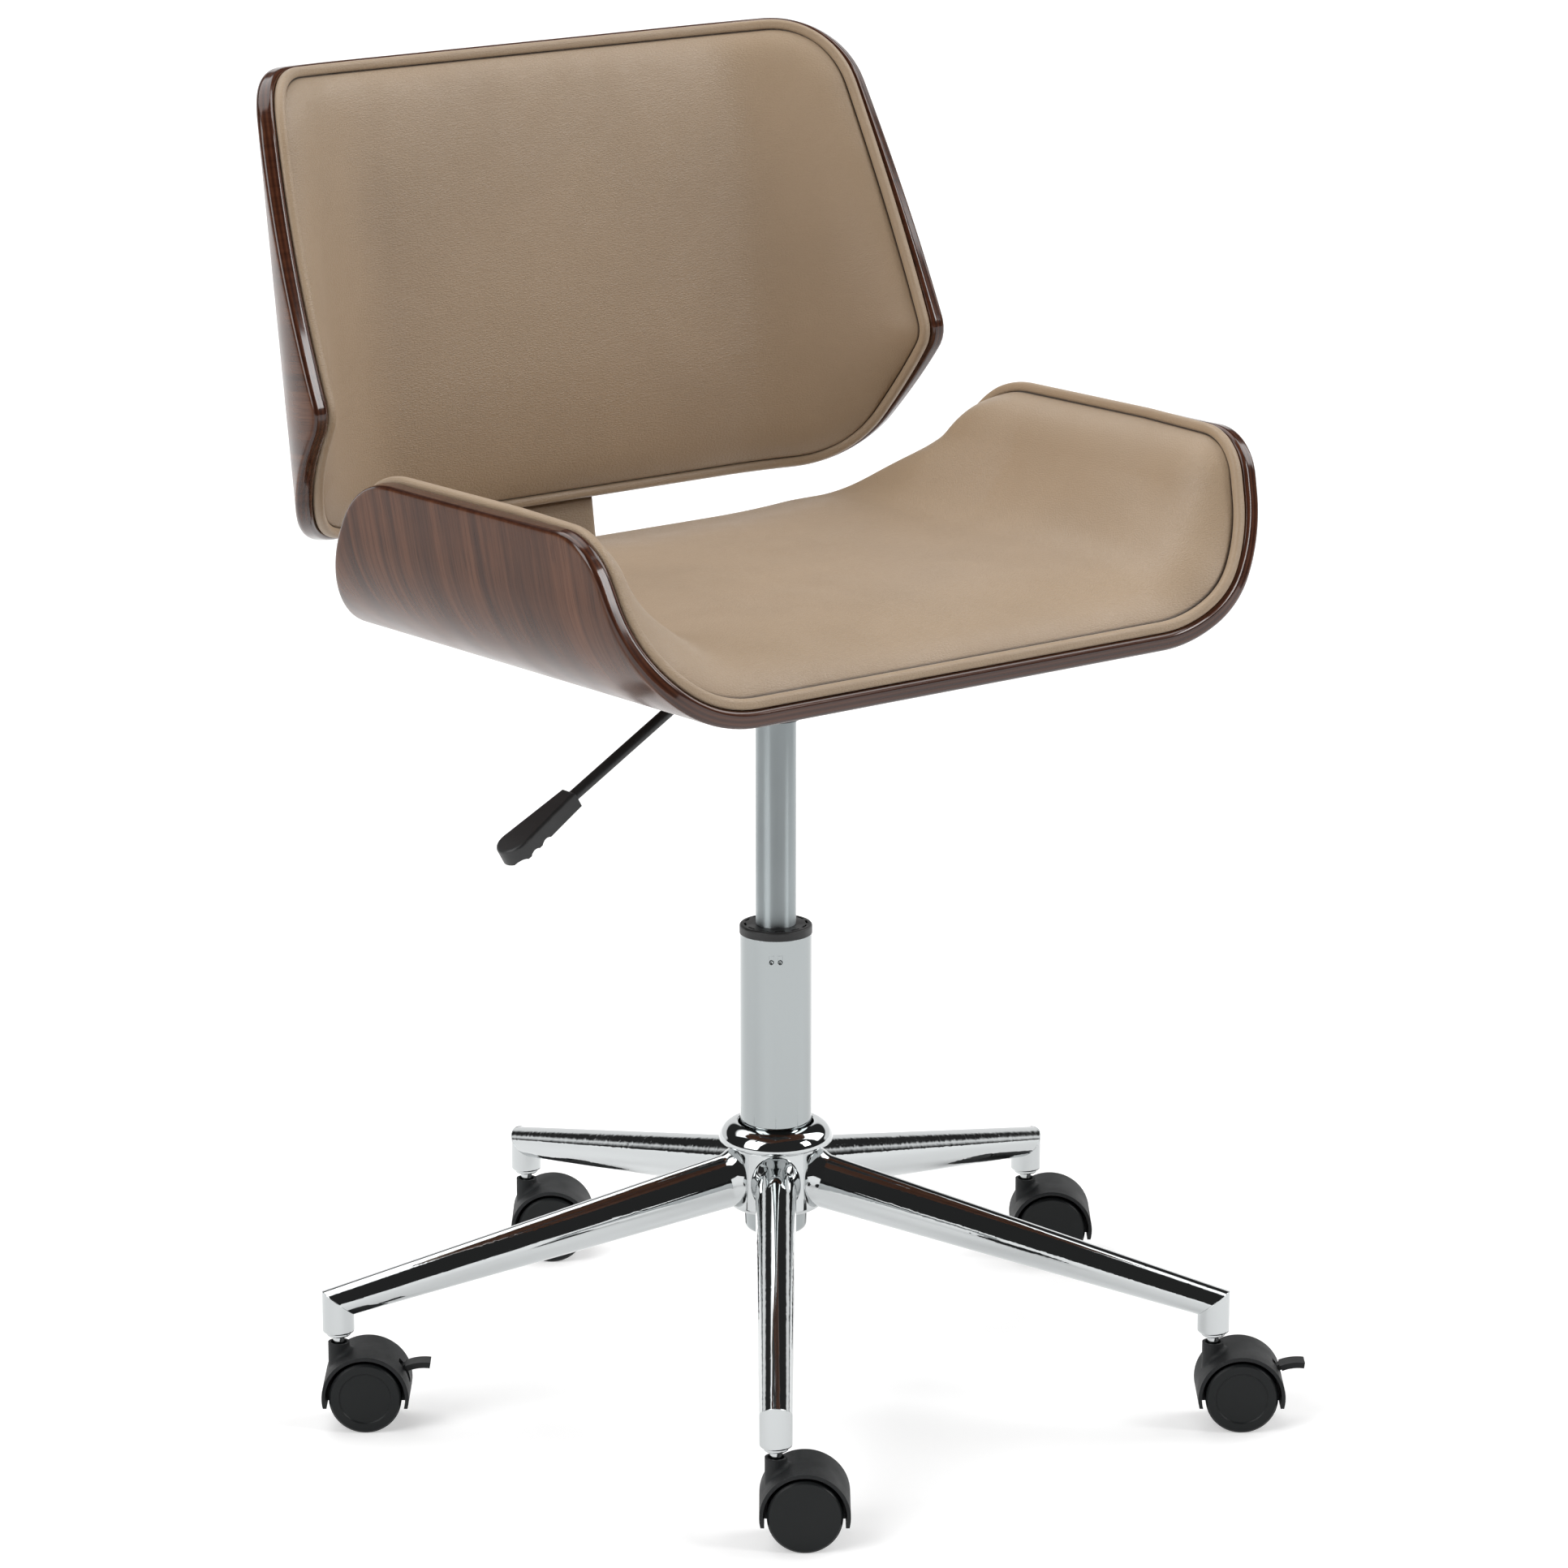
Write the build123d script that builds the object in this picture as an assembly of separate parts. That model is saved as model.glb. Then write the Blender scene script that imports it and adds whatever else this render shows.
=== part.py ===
from build123d import *
import os
from math import atan2, cos, inf, radians, sin, sqrt, tan

# Swivel desk chair: a bent-ply seat and a bent-ply back, both with leather pads, on a gas
# column and a chromed five-arm star base with twin-wheel casters, two of them with brakes.
# Millimetres, +Z up. The floor is z = 0, the column axis is Z and the sitter faces -Y.

# Running fits and seats
fit_clearance = 0.05
part_gap = 0.3
soft_gap = 0.25

# Star base
arm_count = 5
first_arm_angle = -127.8
stem_circle_radius = 316.8
arm_root_width = 29.0
arm_root_height = 39.0
arm_tip_diameter = 22.0
arm_wall = 1.8
arm_root_level = 146.5
arm_tip_level = 87.0
weld_width = 1.8
weld_reach = 9.0
hub_radius = 33.0
hub_top_radius = 31.0
hub_bottom = 126.0
hub_top = 170.0
hub_edge_round = 3.0
collar_radius = 40.0
collar_rim_level = 175.0
collar_rim_round = 1.6
collar_top_level = 187.0
collar_lip = 1.0
collar_gap = 1.4
collar_seat = 4.0
socket_bottom = 66.0
socket_wall = 2.0
socket_edge_round = 1.6
insert_depth = 13.0
insert_flange_radius = 8.2
insert_flange_height = 2.6
insert_edge_round = 1.0

# Casters
trail_angle = -37.8
wheel_radius = 25.0
wheel_width = 16.0
wheel_edge_round = 1.5
wheel_disc = 4.0
wheel_tread = 4.0
wheel_hub_radius = 8.0
wheel_ring_radius = 18.2
wheel_ring_depth = 0.8
caster_trail = 19.0
hood_radius = 30.0
hood_wall = 2.5
hood_skirt_level = 18.0
hood_web = 14.0
hood_lip = 0.4
wheel_side_gap = 0.6
axle_radius = 4.0
stem_radius = 5.0
stem_neck_radius = 4.0
boss_radius = 7.4
boss_top = 58.5
boss_mouth_radius = 5.6
boss_mouth_depth = 3.0
boss_blend = 3.0
hood_edge_round = 0.6
stem_foot_level = 36.0
braked_casters = (2, 5)
pedal_pivot_out = 20.8
pedal_pivot_up = 12.0
pedal_reach = 44.0
pedal_tip_up = 18.0
pedal_width = 13.0
pedal_shank_width = 7.0
pedal_thickness = 4.0
pedal_eye_radius = 3.6
pedal_pin_radius = 2.0
pedal_slot_gap = 0.4
pedal_blade_gap = 2.0
pedal_knee_out = 0.45
pedal_knee_up = 0.85

# Gas column
tube_radius = 25.0
tube_wall = 2.0
tube_bottom = 108.0
tube_floor = 3.0
tube_taper_start = 176.0
tube_foot_radius = 21.5
tube_foot_round = 5.0
tube_top = 324.0
dimple_level = 309.0
dimple_radius = 1.7
dimple_spread = 7.0
punch_height = 4.6
punch_depth = 0.5
bush_flange_radius = 25.3
bush_flange_height = 6.4
bush_edge_round = 1.6
bush_length = 80.0
bush_slot_count = 12
bush_slot_radius = 21.4
bush_slot_length = 7.0
bush_slot_width = 1.6
bush_slot_depth = 2.0
cylinder_radius = 14.0
cylinder_bottom = 256.0
cylinder_plug = 15.0
cylinder_wall = 3.0
cylinder_bore_top = 440.0
taper_top_radius = 13.3
rod_radius = 5.0
rod_foot_radius = 4.0
piston_height = 12.0
piston_rest_gap = 5.0
bearing_radius = 9.0
bearing_ring = 1.0
bearing_cage_inset = 0.6
clip_radius = 7.0
clip_height = 1.3
clip_groove = 0.8
rod_tail = 3.4
button_radius = 5.0
button_head = 4.7
button_travel = 3.3
button_stem_radius = 3.0
button_stem_length = 24.0

# Seat: flat blank bent up into two wings
ply_thickness = 12.0
seat_level = 547.0
seat_middle_y = 35.5
seat_tilt = 0.7
seat_flat_half = 172.0
seat_bend_radius = 95.0
seat_bend_angle = 80.7
seat_half_blank = 349.0
seat_front = -243.0
seat_rear = 180.0
seat_front_corner = 236.0
seat_wing_front = -205.0
seat_wing_rear = 53.0
seat_rear_corner = 176.0
seat_front_round = 120.0
seat_wing_front_round = 43.0
seat_wing_rear_round = 80.0
seat_rear_round = 70.0
seat_crown = 24.0

# Back: flat blank with an ear on each side, bent forward round the sitter
back_foot_y = 247.1
back_foot_level = 587.2
back_recline = 8.1
back_flat_half = 143.0
back_shoulder_radius = 130.0
back_shoulder_length = 77.0
back_ear_radius = 104.0
back_height = 327.0
back_top_half = 259.0
back_ear_half = 326.0
back_ear_level = 90.5
back_bottom_half = 244.0
back_top_round = 70.0
back_ear_round = 24.0
back_bottom_round = 99.0
back_ear_flat = 12.0
back_crown = 20.0

# Upholstery: an upright boxing strip stands on the ply and the crowned panel is sewn to it
strip_height = 6.5
strip_margin = 0.8
cushion_shoulder = 42.0
cushion_shoulder_share = 0.74
cushion_narrow_share = 0.3
cushion_bulge_share = 0.62
cushion_end_rise = 1.2
cushion_end_power = 4

# Sections drawn from the middle of a sheet to each end
even_sections = 14
end_sections = 8

# Seat mount
dish_half_width = 58.0
dish_half_length = 74.0
dish_corner = 14.0
dish_foot_half = 34.0
dish_foot_corner = 33.0
dish_bottom = 484.5
dish_wall = 2.5
flange_margin = 24.0
socket_outer_radius = 17.0
taper_socket_bottom = 477.0
taper_socket_top = 512.0
cylinder_top = 514.0
bolt_radius = 3.0
bolt_head_radius = 6.0
bolt_head_height = 3.6
bolt_hole_clearance = 0.2
tee_barrel_radius = 4.6
tee_flange_radius = 9.0
tee_flange = 1.4
tee_length = 9.6
plate_bolt_margin = 12.0

# Height lever
lever_pivot_x = -38.0
lever_pivot_level = 527.0
lever_droop = 30.0
lever_radius = 4.0
lever_bend = 14.0
lever_inner_end = 7.0
lever_eye_radius = 5.4
lever_eye_half = 5.0
lever_pin_radius = 2.5
lever_slot_half_width = 6.0
lever_slot_half_height = 9.5
ear_thickness = 2.5
ear_half_width = 9.0
ear_bottom = 504.0
ear_top = 533.0
handle_start = 156.0
handle_length = 66.0
handle_tip_radius = 12.5
handle_root_half = 7.0
handle_thickness = 12.0
handle_round = 2.0
handle_bore_depth = 30.0
notch_count = 3
notch_radius = 6.0
notch_depth = 1.8
notch_pitch = 11.5

# Back support bar
bar_width = 62.0
bar_thickness = 6.0
bar_bend_radius = 35.0
bar_front = 70.0
bar_rise = 150.0
sleeve_wall = 2.0
sleeve_gap = 0.3
sleeve_margin = 5.0
sleeve_top_gap = 0.6
bar_bolt_front = 22.0
bar_bolt_half = 22.0
back_bolt_levels = (45.0, 120.0)

parts = {}


def rod(radius, bottom, top):
    """An upright round bar on the column axis."""
    return Pos(0, 0, (bottom + top) / 2) * Cylinder(radius, top - bottom)


def ring(outer, inner, bottom, top):
    """An upright ring on the column axis."""
    return rod(outer, bottom, top) - rod(inner, bottom, top)


def turned(points):
    """A piece turned on the column axis from (radius, level) points."""
    return revolve(make_face(Plane.XZ * Polyline(*points, close=True)), Axis.Z)


# Star base: hub, collar, arms, sockets and their inserts
def tube_outer_radius(level):
    """Column tube radius: straight above the hub, then a locking taper down to the foot."""
    share = (tube_taper_start - level) / (tube_taper_start - tube_bottom)
    return tube_radius - (tube_radius - tube_foot_radius) * max(0.0, share)


def hub_block(bottom, top):
    """The hub filled in, a little narrower at its top, from a point below it to one above."""
    slope = (hub_radius - hub_top_radius) / (hub_top - hub_bottom)
    return turned([
        (0, bottom),
        (hub_radius - (bottom - hub_bottom) * slope, bottom),
        (hub_radius - (top - hub_bottom) * slope, top),
        (0, top),
    ])


hub = hub_block(hub_bottom, hub_top)
hub = fillet(hub.edges().sort_by(Axis.Z)[0], hub_edge_round)
parts["hub_sleeve"] = hub - turned([
    (0, hub_bottom),
    (tube_outer_radius(hub_bottom), hub_bottom),
    (tube_outer_radius(hub_top), hub_top),
    (0, hub_top),
])

lip_radius = tube_radius + collar_gap
rim_middle = (collar_radius - collar_rim_round, collar_rim_level)
dome_start = (collar_radius, collar_rim_level)
dome_end = (lip_radius + collar_lip, collar_top_level)
dome_middle = ((2 * collar_radius + lip_radius) / 3, (collar_rim_level + 3 * collar_top_level) / 4)
rim_foot = (collar_radius - collar_rim_round, collar_rim_level - collar_rim_round)
rim_side = collar_rim_round / sqrt(2)
collar_outline = [
    Line((tube_radius, hub_top), (hub_top_radius, hub_top)),
    Line((hub_top_radius, hub_top), rim_foot),
    ThreePointArc(rim_foot, (rim_middle[0] + rim_side, rim_middle[1] - rim_side), dome_start),
    ThreePointArc(dome_start, dome_middle, dome_end),
    RadiusArc(dome_end, (lip_radius, collar_top_level - collar_lip), -collar_lip),
    Line((lip_radius, collar_top_level - collar_lip), (lip_radius, hub_top + collar_seat)),
    Line((lip_radius, hub_top + collar_seat), (tube_radius, hub_top + collar_seat)),
    Line((tube_radius, hub_top + collar_seat), (tube_radius, hub_top)),
]
parts["hub_collar"] = revolve(Plane.XZ * make_face(collar_outline), Axis.Z)

arm_run = stem_circle_radius - hub_radius
arm_fall = atan2(arm_root_level - arm_tip_level, arm_run)
arm_axis = Vector(cos(arm_fall), 0, -sin(arm_fall))
elbow = Vector(stem_circle_radius, 0, arm_tip_level)
mitre = Plane(origin=elbow, z_dir=arm_axis + Vector(0, 0, -1))


def arm_section(radius, inset):
    """Upright oval of the tapering arm at a distance from the column axis."""
    share = (radius - hub_radius) / arm_run
    half_width = (arm_root_width + (arm_tip_diameter - arm_root_width) * share) / 2 - inset
    half_height = (arm_root_height + (arm_tip_diameter - arm_root_height) * share) / 2 - inset
    centre = elbow + arm_axis * ((radius - stem_circle_radius) / cos(arm_fall))
    return Plane(origin=centre, x_dir=(0, 1, 0), z_dir=arm_axis) * Ellipse(half_width, half_height)


arm_inner_end = hub_radius / 2
arm_outer_end = stem_circle_radius + arm_tip_diameter
arm = loft([arm_section(arm_inner_end, 0), arm_section(arm_outer_end, 0)])
arm += loft([
    arm_section(hub_top_radius - weld_reach, -weld_width),
    arm_section(hub_top_radius, -weld_width),
    arm_section(hub_top_radius + weld_reach / 3, -weld_width / 3),
    arm_section(hub_top_radius + weld_reach, 0),
])
arm -= loft([arm_section(arm_inner_end, arm_wall), arm_section(arm_outer_end, arm_wall)])
arm -= hub_block(hub_bottom - arm_root_height, hub_top + arm_root_height)
arm = split(arm, bisect_by=mitre, keep=Keep.BOTTOM)

socket_radius = arm_tip_diameter / 2
socket = rod(socket_radius, socket_bottom, arm_tip_level + arm_tip_diameter)
socket = fillet(socket.edges().sort_by(Axis.Z)[0], socket_edge_round)
socket -= rod(socket_radius - socket_wall, socket_bottom, arm_tip_level + arm_tip_diameter)
socket = split(Pos(stem_circle_radius, 0, 0) * socket, bisect_by=mitre, keep=Keep.TOP)

flange_bottom = socket_bottom - insert_flange_height
insert = rod(insert_flange_radius, flange_bottom, socket_bottom)
insert = fillet(insert.edges().sort_by(Axis.Z)[0], insert_edge_round)
insert += rod(socket_radius - socket_wall, socket_bottom, socket_bottom + insert_depth)
insert -= rod(stem_radius, flange_bottom, socket_bottom + insert_depth)
insert = Pos(stem_circle_radius, 0, 0) * insert

stem = rod(stem_radius, flange_bottom, socket_bottom + insert_depth)
stem += rod(stem_neck_radius, stem_foot_level + part_gap, flange_bottom)
stem = Pos(stem_circle_radius, 0, 0) * stem

arm_turns = [Rot(0, 0, first_arm_angle + 360 / arm_count * index) for index in range(arm_count)]
for number, turn in enumerate(arm_turns, start=1):
    parts[f"base_arm_{number}"] = turn * arm
parts["caster_sockets"] = Compound(children=[turn * socket for turn in arm_turns])
parts["socket_inserts"] = Compound(children=[turn * insert for turn in arm_turns])
parts["caster_stems"] = Compound(children=[turn * stem for turn in arm_turns])

# Gas column: outer tube, guide bush, gas cylinder, piston rod, thrust bearing and button
tube_inside = tube_radius - tube_wall
parts["column_tube"] = turned([
    (rod_foot_radius + part_gap, tube_bottom),
    (tube_foot_radius, tube_bottom),
    (tube_radius, tube_taper_start),
    (tube_radius, tube_top),
    (tube_inside, tube_top),
    (tube_inside, tube_taper_start),
    (tube_foot_radius - tube_wall, tube_bottom + tube_floor),
    (rod_foot_radius + part_gap, tube_bottom + tube_floor),
])
foot_edges = parts["column_tube"].edges().filter_by(GeomType.CIRCLE).group_by(Axis.Z)[0]
parts["column_tube"] = fillet(foot_edges.sort_by(SortBy.RADIUS)[-1], tube_foot_round)
punch = Pos(0, 0, punch_height / 2) * Box(2 * punch_depth, 2 * dimple_radius, punch_height)
punch += Sphere(dimple_radius)
for side in (-1, 1):
    turn = Rot(0, 0, first_arm_angle + side * dimple_spread)
    parts["column_tube"] -= turn * (Pos(tube_radius, 0, dimple_level) * punch)

bush_bore = cylinder_radius + 2 * fit_clearance
bush_top = tube_top + bush_flange_height
bush = rod(bush_flange_radius, tube_top, bush_top)
bush = fillet(bush.edges().sort_by(Axis.Z)[-1], bush_edge_round)
bush += rod(tube_inside, tube_top - bush_length, tube_top)
bush -= rod(bush_bore, tube_top - bush_length, bush_top)
for index in range(bush_slot_count):
    slot = Box(bush_slot_width, bush_slot_length, 2 * bush_slot_depth)
    bush -= Rot(0, 0, 360 / bush_slot_count * index) * (Pos(bush_slot_radius, 0, bush_top) * slot)
parts["column_bush"] = bush

cylinder_bore = cylinder_radius - cylinder_wall
plug_top = cylinder_bottom + cylinder_plug
button_bore = button_stem_radius + fit_clearance
parts["gas_cylinder"] = turned([
    (rod_radius + fit_clearance, cylinder_bottom),
    (cylinder_radius, cylinder_bottom),
    (cylinder_radius, taper_socket_bottom),
    (taper_top_radius, cylinder_top),
    (button_bore, cylinder_top),
    (button_bore, cylinder_bore_top),
    (cylinder_bore, cylinder_bore_top),
    (cylinder_bore, plug_top),
    (rod_radius + fit_clearance, plug_top),
])

bearing_bottom = tube_bottom + tube_floor
bearing_levels = [bearing_bottom + bearing_ring * index for index in range(3)]
bearing_bore = rod_foot_radius + part_gap / 3
parts["thrust_bearing"] = Compound(children=[
    ring(bearing_radius - inset, bearing_bore + inset, level, level + bearing_ring)
    for level, inset in zip(bearing_levels, (0.0, bearing_cage_inset, 0.0))
])

shoulder = bearing_levels[-1] + bearing_ring + part_gap / 2
clip_top = tube_bottom - part_gap
clip_bottom = clip_top - clip_height
groove_radius = rod_foot_radius - clip_groove
piston_bottom = plug_top + piston_rest_gap
parts["piston_rod"] = turned([
    (0, clip_bottom - rod_tail),
    (rod_foot_radius, clip_bottom - rod_tail),
    (rod_foot_radius, clip_bottom),
    (groove_radius, clip_bottom),
    (groove_radius, clip_top),
    (rod_foot_radius, clip_top),
    (rod_foot_radius, shoulder),
    (rod_radius, shoulder),
    (rod_radius, piston_bottom),
    (cylinder_bore - fit_clearance, piston_bottom),
    (cylinder_bore - fit_clearance, piston_bottom + piston_height),
    (0, piston_bottom + piston_height),
])
parts["rod_clip"] = ring(clip_radius, groove_radius, clip_bottom, clip_top)

button_head_bottom = cylinder_top + button_travel + 2 * part_gap
button_top = button_head_bottom + button_head
button_foot = button_head_bottom - button_stem_length
parts["release_button"] = rod(button_radius, button_head_bottom, button_top)
parts["release_button"] += rod(button_stem_radius, button_foot, button_head_bottom)


# Bent ply: a flat blank, drawn as (across, along), laid over a curve that runs out from the middle
class Sheet:
    """A bent sheet: where it lies, which way is along it, and the runs of its bend."""

    def __init__(self, origin, along, runs, blank, even_end, end):
        self.origin = origin
        self.along = along
        self.runs = runs
        self.blank = blank
        self.even_end = even_end
        self.end = end
        self.across = Vector(1, 0, 0)
        self.normal = self.across.cross(along)

    def bend(self, distance):
        """Walk outward over the runs (length, curvature): sideways, rise and turn in radians."""
        sideways = 0.0
        rise = 0.0
        turn = 0.0
        left = abs(distance)
        for length, curvature in self.runs:
            step = min(left, length)
            end = turn + step * curvature
            if curvature:
                sideways += (sin(end) - sin(turn)) / curvature
                rise += (cos(turn) - cos(end)) / curvature
            else:
                sideways += step * cos(turn)
                rise += step * sin(turn)
            turn = end
            left -= step
        return sideways, rise, turn

    def plane(self, distance):
        """Section plane square to the sheet: x runs along the sheet and y off its inner face."""
        side = 1 if distance >= 0 else -1
        sideways, rise, turn = self.bend(distance)
        origin = self.origin + self.across * (side * sideways) + self.normal * rise
        outward = self.across * cos(turn) + self.normal * (side * sin(turn))
        return Plane(origin=origin, x_dir=self.along, z_dir=outward)

    def stations(self, inset):
        """Section places from end to end: even in the middle, closing up towards rounded ends."""
        even = [self.even_end * step / even_sections for step in range(even_sections)]
        rest = self.end - inset - self.even_end
        turns = [radians(90 * step / end_sections) for step in range(end_sections + 1)]
        right = even + [self.even_end + rest * sin(turn) for turn in turns]
        return [-distance for distance in reversed(right)] + right[1:]

    def point(self, across, along, off):
        """A place on the flat middle of the sheet."""
        return self.origin + self.across * across + self.along * along + self.normal * off


def span(blank, distance):
    """Where the line at one distance from the middle enters and leaves the blank."""
    reach = blank.bounding_box().size.Y
    line = Line((distance, -reach), (distance, 2 * reach))
    ends = sorted(vertex.Y for edge in blank.intersect(line) for vertex in edge.vertices())
    return ends[0], ends[-1]


def band(sheet, bottom, top):
    """The whole bent sheet between two distances off its inner face, before it is trimmed."""
    starts = [0.0]
    for length, _ in sheet.runs[:-1]:
        starts.append(starts[-1] + length)
    ends = starts[1:] + [sheet.blank.bounding_box().max.X + ply_thickness]

    def place(distance, off, side):
        sideways, rise, turn = sheet.bend(distance)
        return side * (sideways - off * sin(turn)), rise + off * cos(turn)

    def edge(start, end, curvature, off, side):
        first = place(start, off, side)
        last = place(end, off, side)
        if curvature:
            return ThreePointArc(first, place((start + end) / 2, off, side), last)
        return Line(first, last)

    outline = []
    for side in (-1, 1):
        for off in (bottom, top):
            for start, end, (_, curvature) in zip(starts, ends, sheet.runs):
                outline.append(edge(start, end, curvature, off, side))
        outline.append(Line(place(ends[-1], bottom, side), place(ends[-1], top, side)))
    across_plane = Plane(origin=sheet.origin, x_dir=sheet.across, z_dir=-sheet.along)
    reach = 2 * sheet.blank.bounding_box().size.Y
    return extrude(across_plane * make_face(outline), amount=reach, both=True)


def trim(sheet, inset):
    """A block whose walls stand square to the bent sheet along the outline of its blank."""
    sections = []
    bottom = -2 * ply_thickness
    top = 2 * ply_thickness
    for distance in sheet.stations(inset):
        low, high = span(sheet.blank, distance)
        section = Rectangle(high - low - 2 * inset, top - bottom)
        sections.append(sheet.plane(distance) * (Pos((low + high) / 2, (bottom + top) / 2) * section))
    return loft(sections)


def ply_shell(sheet):
    """The bent ply, cut square to its faces along the outline."""
    return band(sheet, -ply_thickness, 0) & trim(sheet, 0)


def cushion_section(plane, low, high, crown):
    """Upright foot, shoulder arcs that draw the side in, and a crowned top."""
    foot = -ply_thickness / 4
    seam = soft_gap + strip_height
    middle = (low + high) / 2
    shoulder_run = min(cushion_shoulder, cushion_narrow_share * (high - low))
    rise = crown - seam
    shoulder_level = seam + cushion_shoulder_share * rise
    bulge = shoulder_run / 3
    bulge_level = seam + cushion_bulge_share * cushion_shoulder_share * rise
    low_shoulder = (low + shoulder_run, shoulder_level)
    high_shoulder = (high - shoulder_run, shoulder_level)
    outline = [
        Line((high, foot), (low, foot)),
        Line((low, foot), (low, seam)),
        ThreePointArc((low, seam), (low + bulge, bulge_level), low_shoulder),
        ThreePointArc(low_shoulder, (middle, crown), high_shoulder),
        ThreePointArc(high_shoulder, (high - bulge, bulge_level), (high, seam)),
        Line((high, seam), (high, foot)),
    ]
    return plane * make_face(outline)


def cushion(sheet, crown):
    """The stuffed pad just inside the edge of the ply, thick in the middle and thin at the ends."""
    inset = strip_margin
    thin = soft_gap + strip_height + cushion_end_rise
    sections = []
    for distance in sheet.stations(inset):
        low, high = span(sheet.blank, distance)
        share = abs(distance) / sheet.end
        level = thin + (crown - thin) * sqrt(max(0.0, 1 - share ** cushion_end_power))
        sections.append(cushion_section(sheet.plane(distance), low + inset, high - inset, level))
    return loft(sections) & band(sheet, soft_gap, 2 * crown)


def drawn_blank(right_points, rounds):
    """A symmetric flat blank from its right-hand corners, with each corner rounded."""
    left_points = [(-x, y) for x, y in reversed(right_points)]
    face = make_face(Polyline(*right_points, *left_points, close=True))
    for (x, y), radius in zip(right_points, rounds):
        corners = [v for v in face.vertices() if abs(abs(v.X) - x) < 0.01 and abs(v.Y - y) < 0.01]
        face = fillet(corners, radius)
    return face


seat_blank = drawn_blank(
    [
        (seat_front_corner, seat_front),
        (seat_half_blank, seat_wing_front),
        (seat_half_blank, seat_wing_rear),
        (seat_rear_corner, seat_rear),
    ],
    [seat_front_round, seat_wing_front_round, seat_wing_rear_round, seat_rear_round],
)
seat_bend_length = seat_bend_radius * radians(seat_bend_angle)
seat_sheet = Sheet(
    Vector(0, seat_middle_y, seat_level),
    Vector(0, cos(radians(seat_tilt)), -sin(radians(seat_tilt))),
    [(seat_flat_half, 0.0), (seat_bend_length, 1 / seat_bend_radius), (inf, 0.0)],
    seat_blank,
    seat_half_blank - seat_wing_rear_round / 2,
    seat_half_blank,
)
parts["seat_shell"] = ply_shell(seat_sheet)
parts["seat_pad"] = cushion(seat_sheet, seat_crown)

back_blank = drawn_blank(
    [
        (back_bottom_half, 0.0),
        (back_ear_half, back_ear_level),
        (back_top_half, back_height),
    ],
    [back_bottom_round, back_ear_round, back_top_round],
)
back_ear_end = back_blank.bounding_box().max.X - back_ear_flat ** 2 / (8 * back_ear_round)
back_sheet = Sheet(
    Vector(0, back_foot_y, back_foot_level),
    Vector(0, sin(radians(back_recline)), cos(radians(back_recline))),
    [
        (back_flat_half, 0.0),
        (back_shoulder_length, 1 / back_shoulder_radius),
        (inf, 1 / back_ear_radius),
    ],
    back_blank,
    back_top_half,
    back_ear_end,
)
parts["back_shell"] = ply_shell(back_sheet)
parts["back_pad"] = cushion(back_sheet, back_crown)

# Seat mount: a pressed dish under the ply with the taper socket for the gas cylinder
mount_middle = seat_sheet.point(0, -seat_middle_y, -ply_thickness)
mount_plane = Plane(origin=mount_middle, x_dir=(1, 0, 0), z_dir=seat_sheet.normal)
dish_depth = mount_plane.origin.Z - dish_bottom


def dish_block(inset, floor):
    """Block of the dish from its round foot to its square mouth: the outside, or the inside with the
    wall and floor left."""
    top_width = 2 * (dish_half_width - inset)
    top_length = 2 * (dish_half_length - inset)
    top = RectangleRounded(top_width, top_length, dish_corner - inset)
    foot_width = 2 * (dish_foot_half - inset)
    foot = RectangleRounded(foot_width, foot_width, dish_foot_corner - inset)
    return mount_plane * loft([Pos(0, 0, floor - dish_depth) * foot, top])


flange_width = 2 * (dish_half_width + flange_margin)
flange_length = 2 * (dish_half_length + flange_margin)
flange = RectangleRounded(flange_width, flange_length, dish_corner + flange_margin / 2)
flange = mount_plane * (Pos(0, 0, -dish_wall) * extrude(flange, amount=dish_wall))
dish = dish_block(0, 0) + flange
dish -= dish_block(dish_wall, dish_wall)
dish -= rod(socket_outer_radius, 0, dish_bottom + dish_depth)


def bolt(length):
    """A pan-head bolt that stands on its head, its shank upward from z = 0."""
    head = Cylinder(bolt_head_radius, bolt_head_height, align=(Align.CENTER, Align.CENTER, Align.MAX))
    head = fillet(head.edges().sort_by(Axis.Z)[0], bolt_head_height / 3)
    return head + rod(bolt_radius, 0, length)


tee_bore = bolt_radius + bolt_hole_clearance
tee_nut = ring(tee_barrel_radius, tee_bore, -tee_length, 0)
tee_nut += ring(tee_flange_radius, tee_bore, -tee_flange, 0)
tee_seat = rod(tee_barrel_radius, -2 * ply_thickness, 0)
tee_seat += rod(tee_flange_radius, -tee_flange, ply_thickness / 4)
bolt_hole = rod(tee_bore, -2 * ply_thickness, ply_thickness)

plate_bolt_x = flange_width / 2 - plate_bolt_margin
plate_bolt_y = flange_length / 2 - plate_bolt_margin
plate_places = [
    seat_sheet.point(x, y - seat_middle_y, 0)
    for x in (-plate_bolt_x, plate_bolt_x)
    for y in (-plate_bolt_y, plate_bolt_y)
]


def seat_frame(place):
    """Axes square to the flat of the seat at one place on its inner face."""
    return Plane(origin=place, x_dir=(1, 0, 0), z_dir=seat_sheet.normal).location


def back_frame(place):
    """Axes square to the flat of the back at one place on its inner face."""
    return Plane(origin=place, x_dir=(1, 0, 0), z_dir=back_sheet.normal).location


for place in plate_places:
    dish -= seat_frame(place) * bolt_hole

lever_slope = radians(lever_droop)
wall_x = -(dish_half_width + dish_foot_half) / 2
slot_level = lever_pivot_level - (lever_pivot_x - wall_x) * tan(lever_slope)
slot_length = 2 * (dish_half_width - dish_foot_half)
slot = Box(slot_length, 2 * lever_slot_half_width, 2 * lever_slot_half_height)
dish -= Pos(wall_x, 0, slot_level) * slot
parts["mount_dish"] = dish

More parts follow.
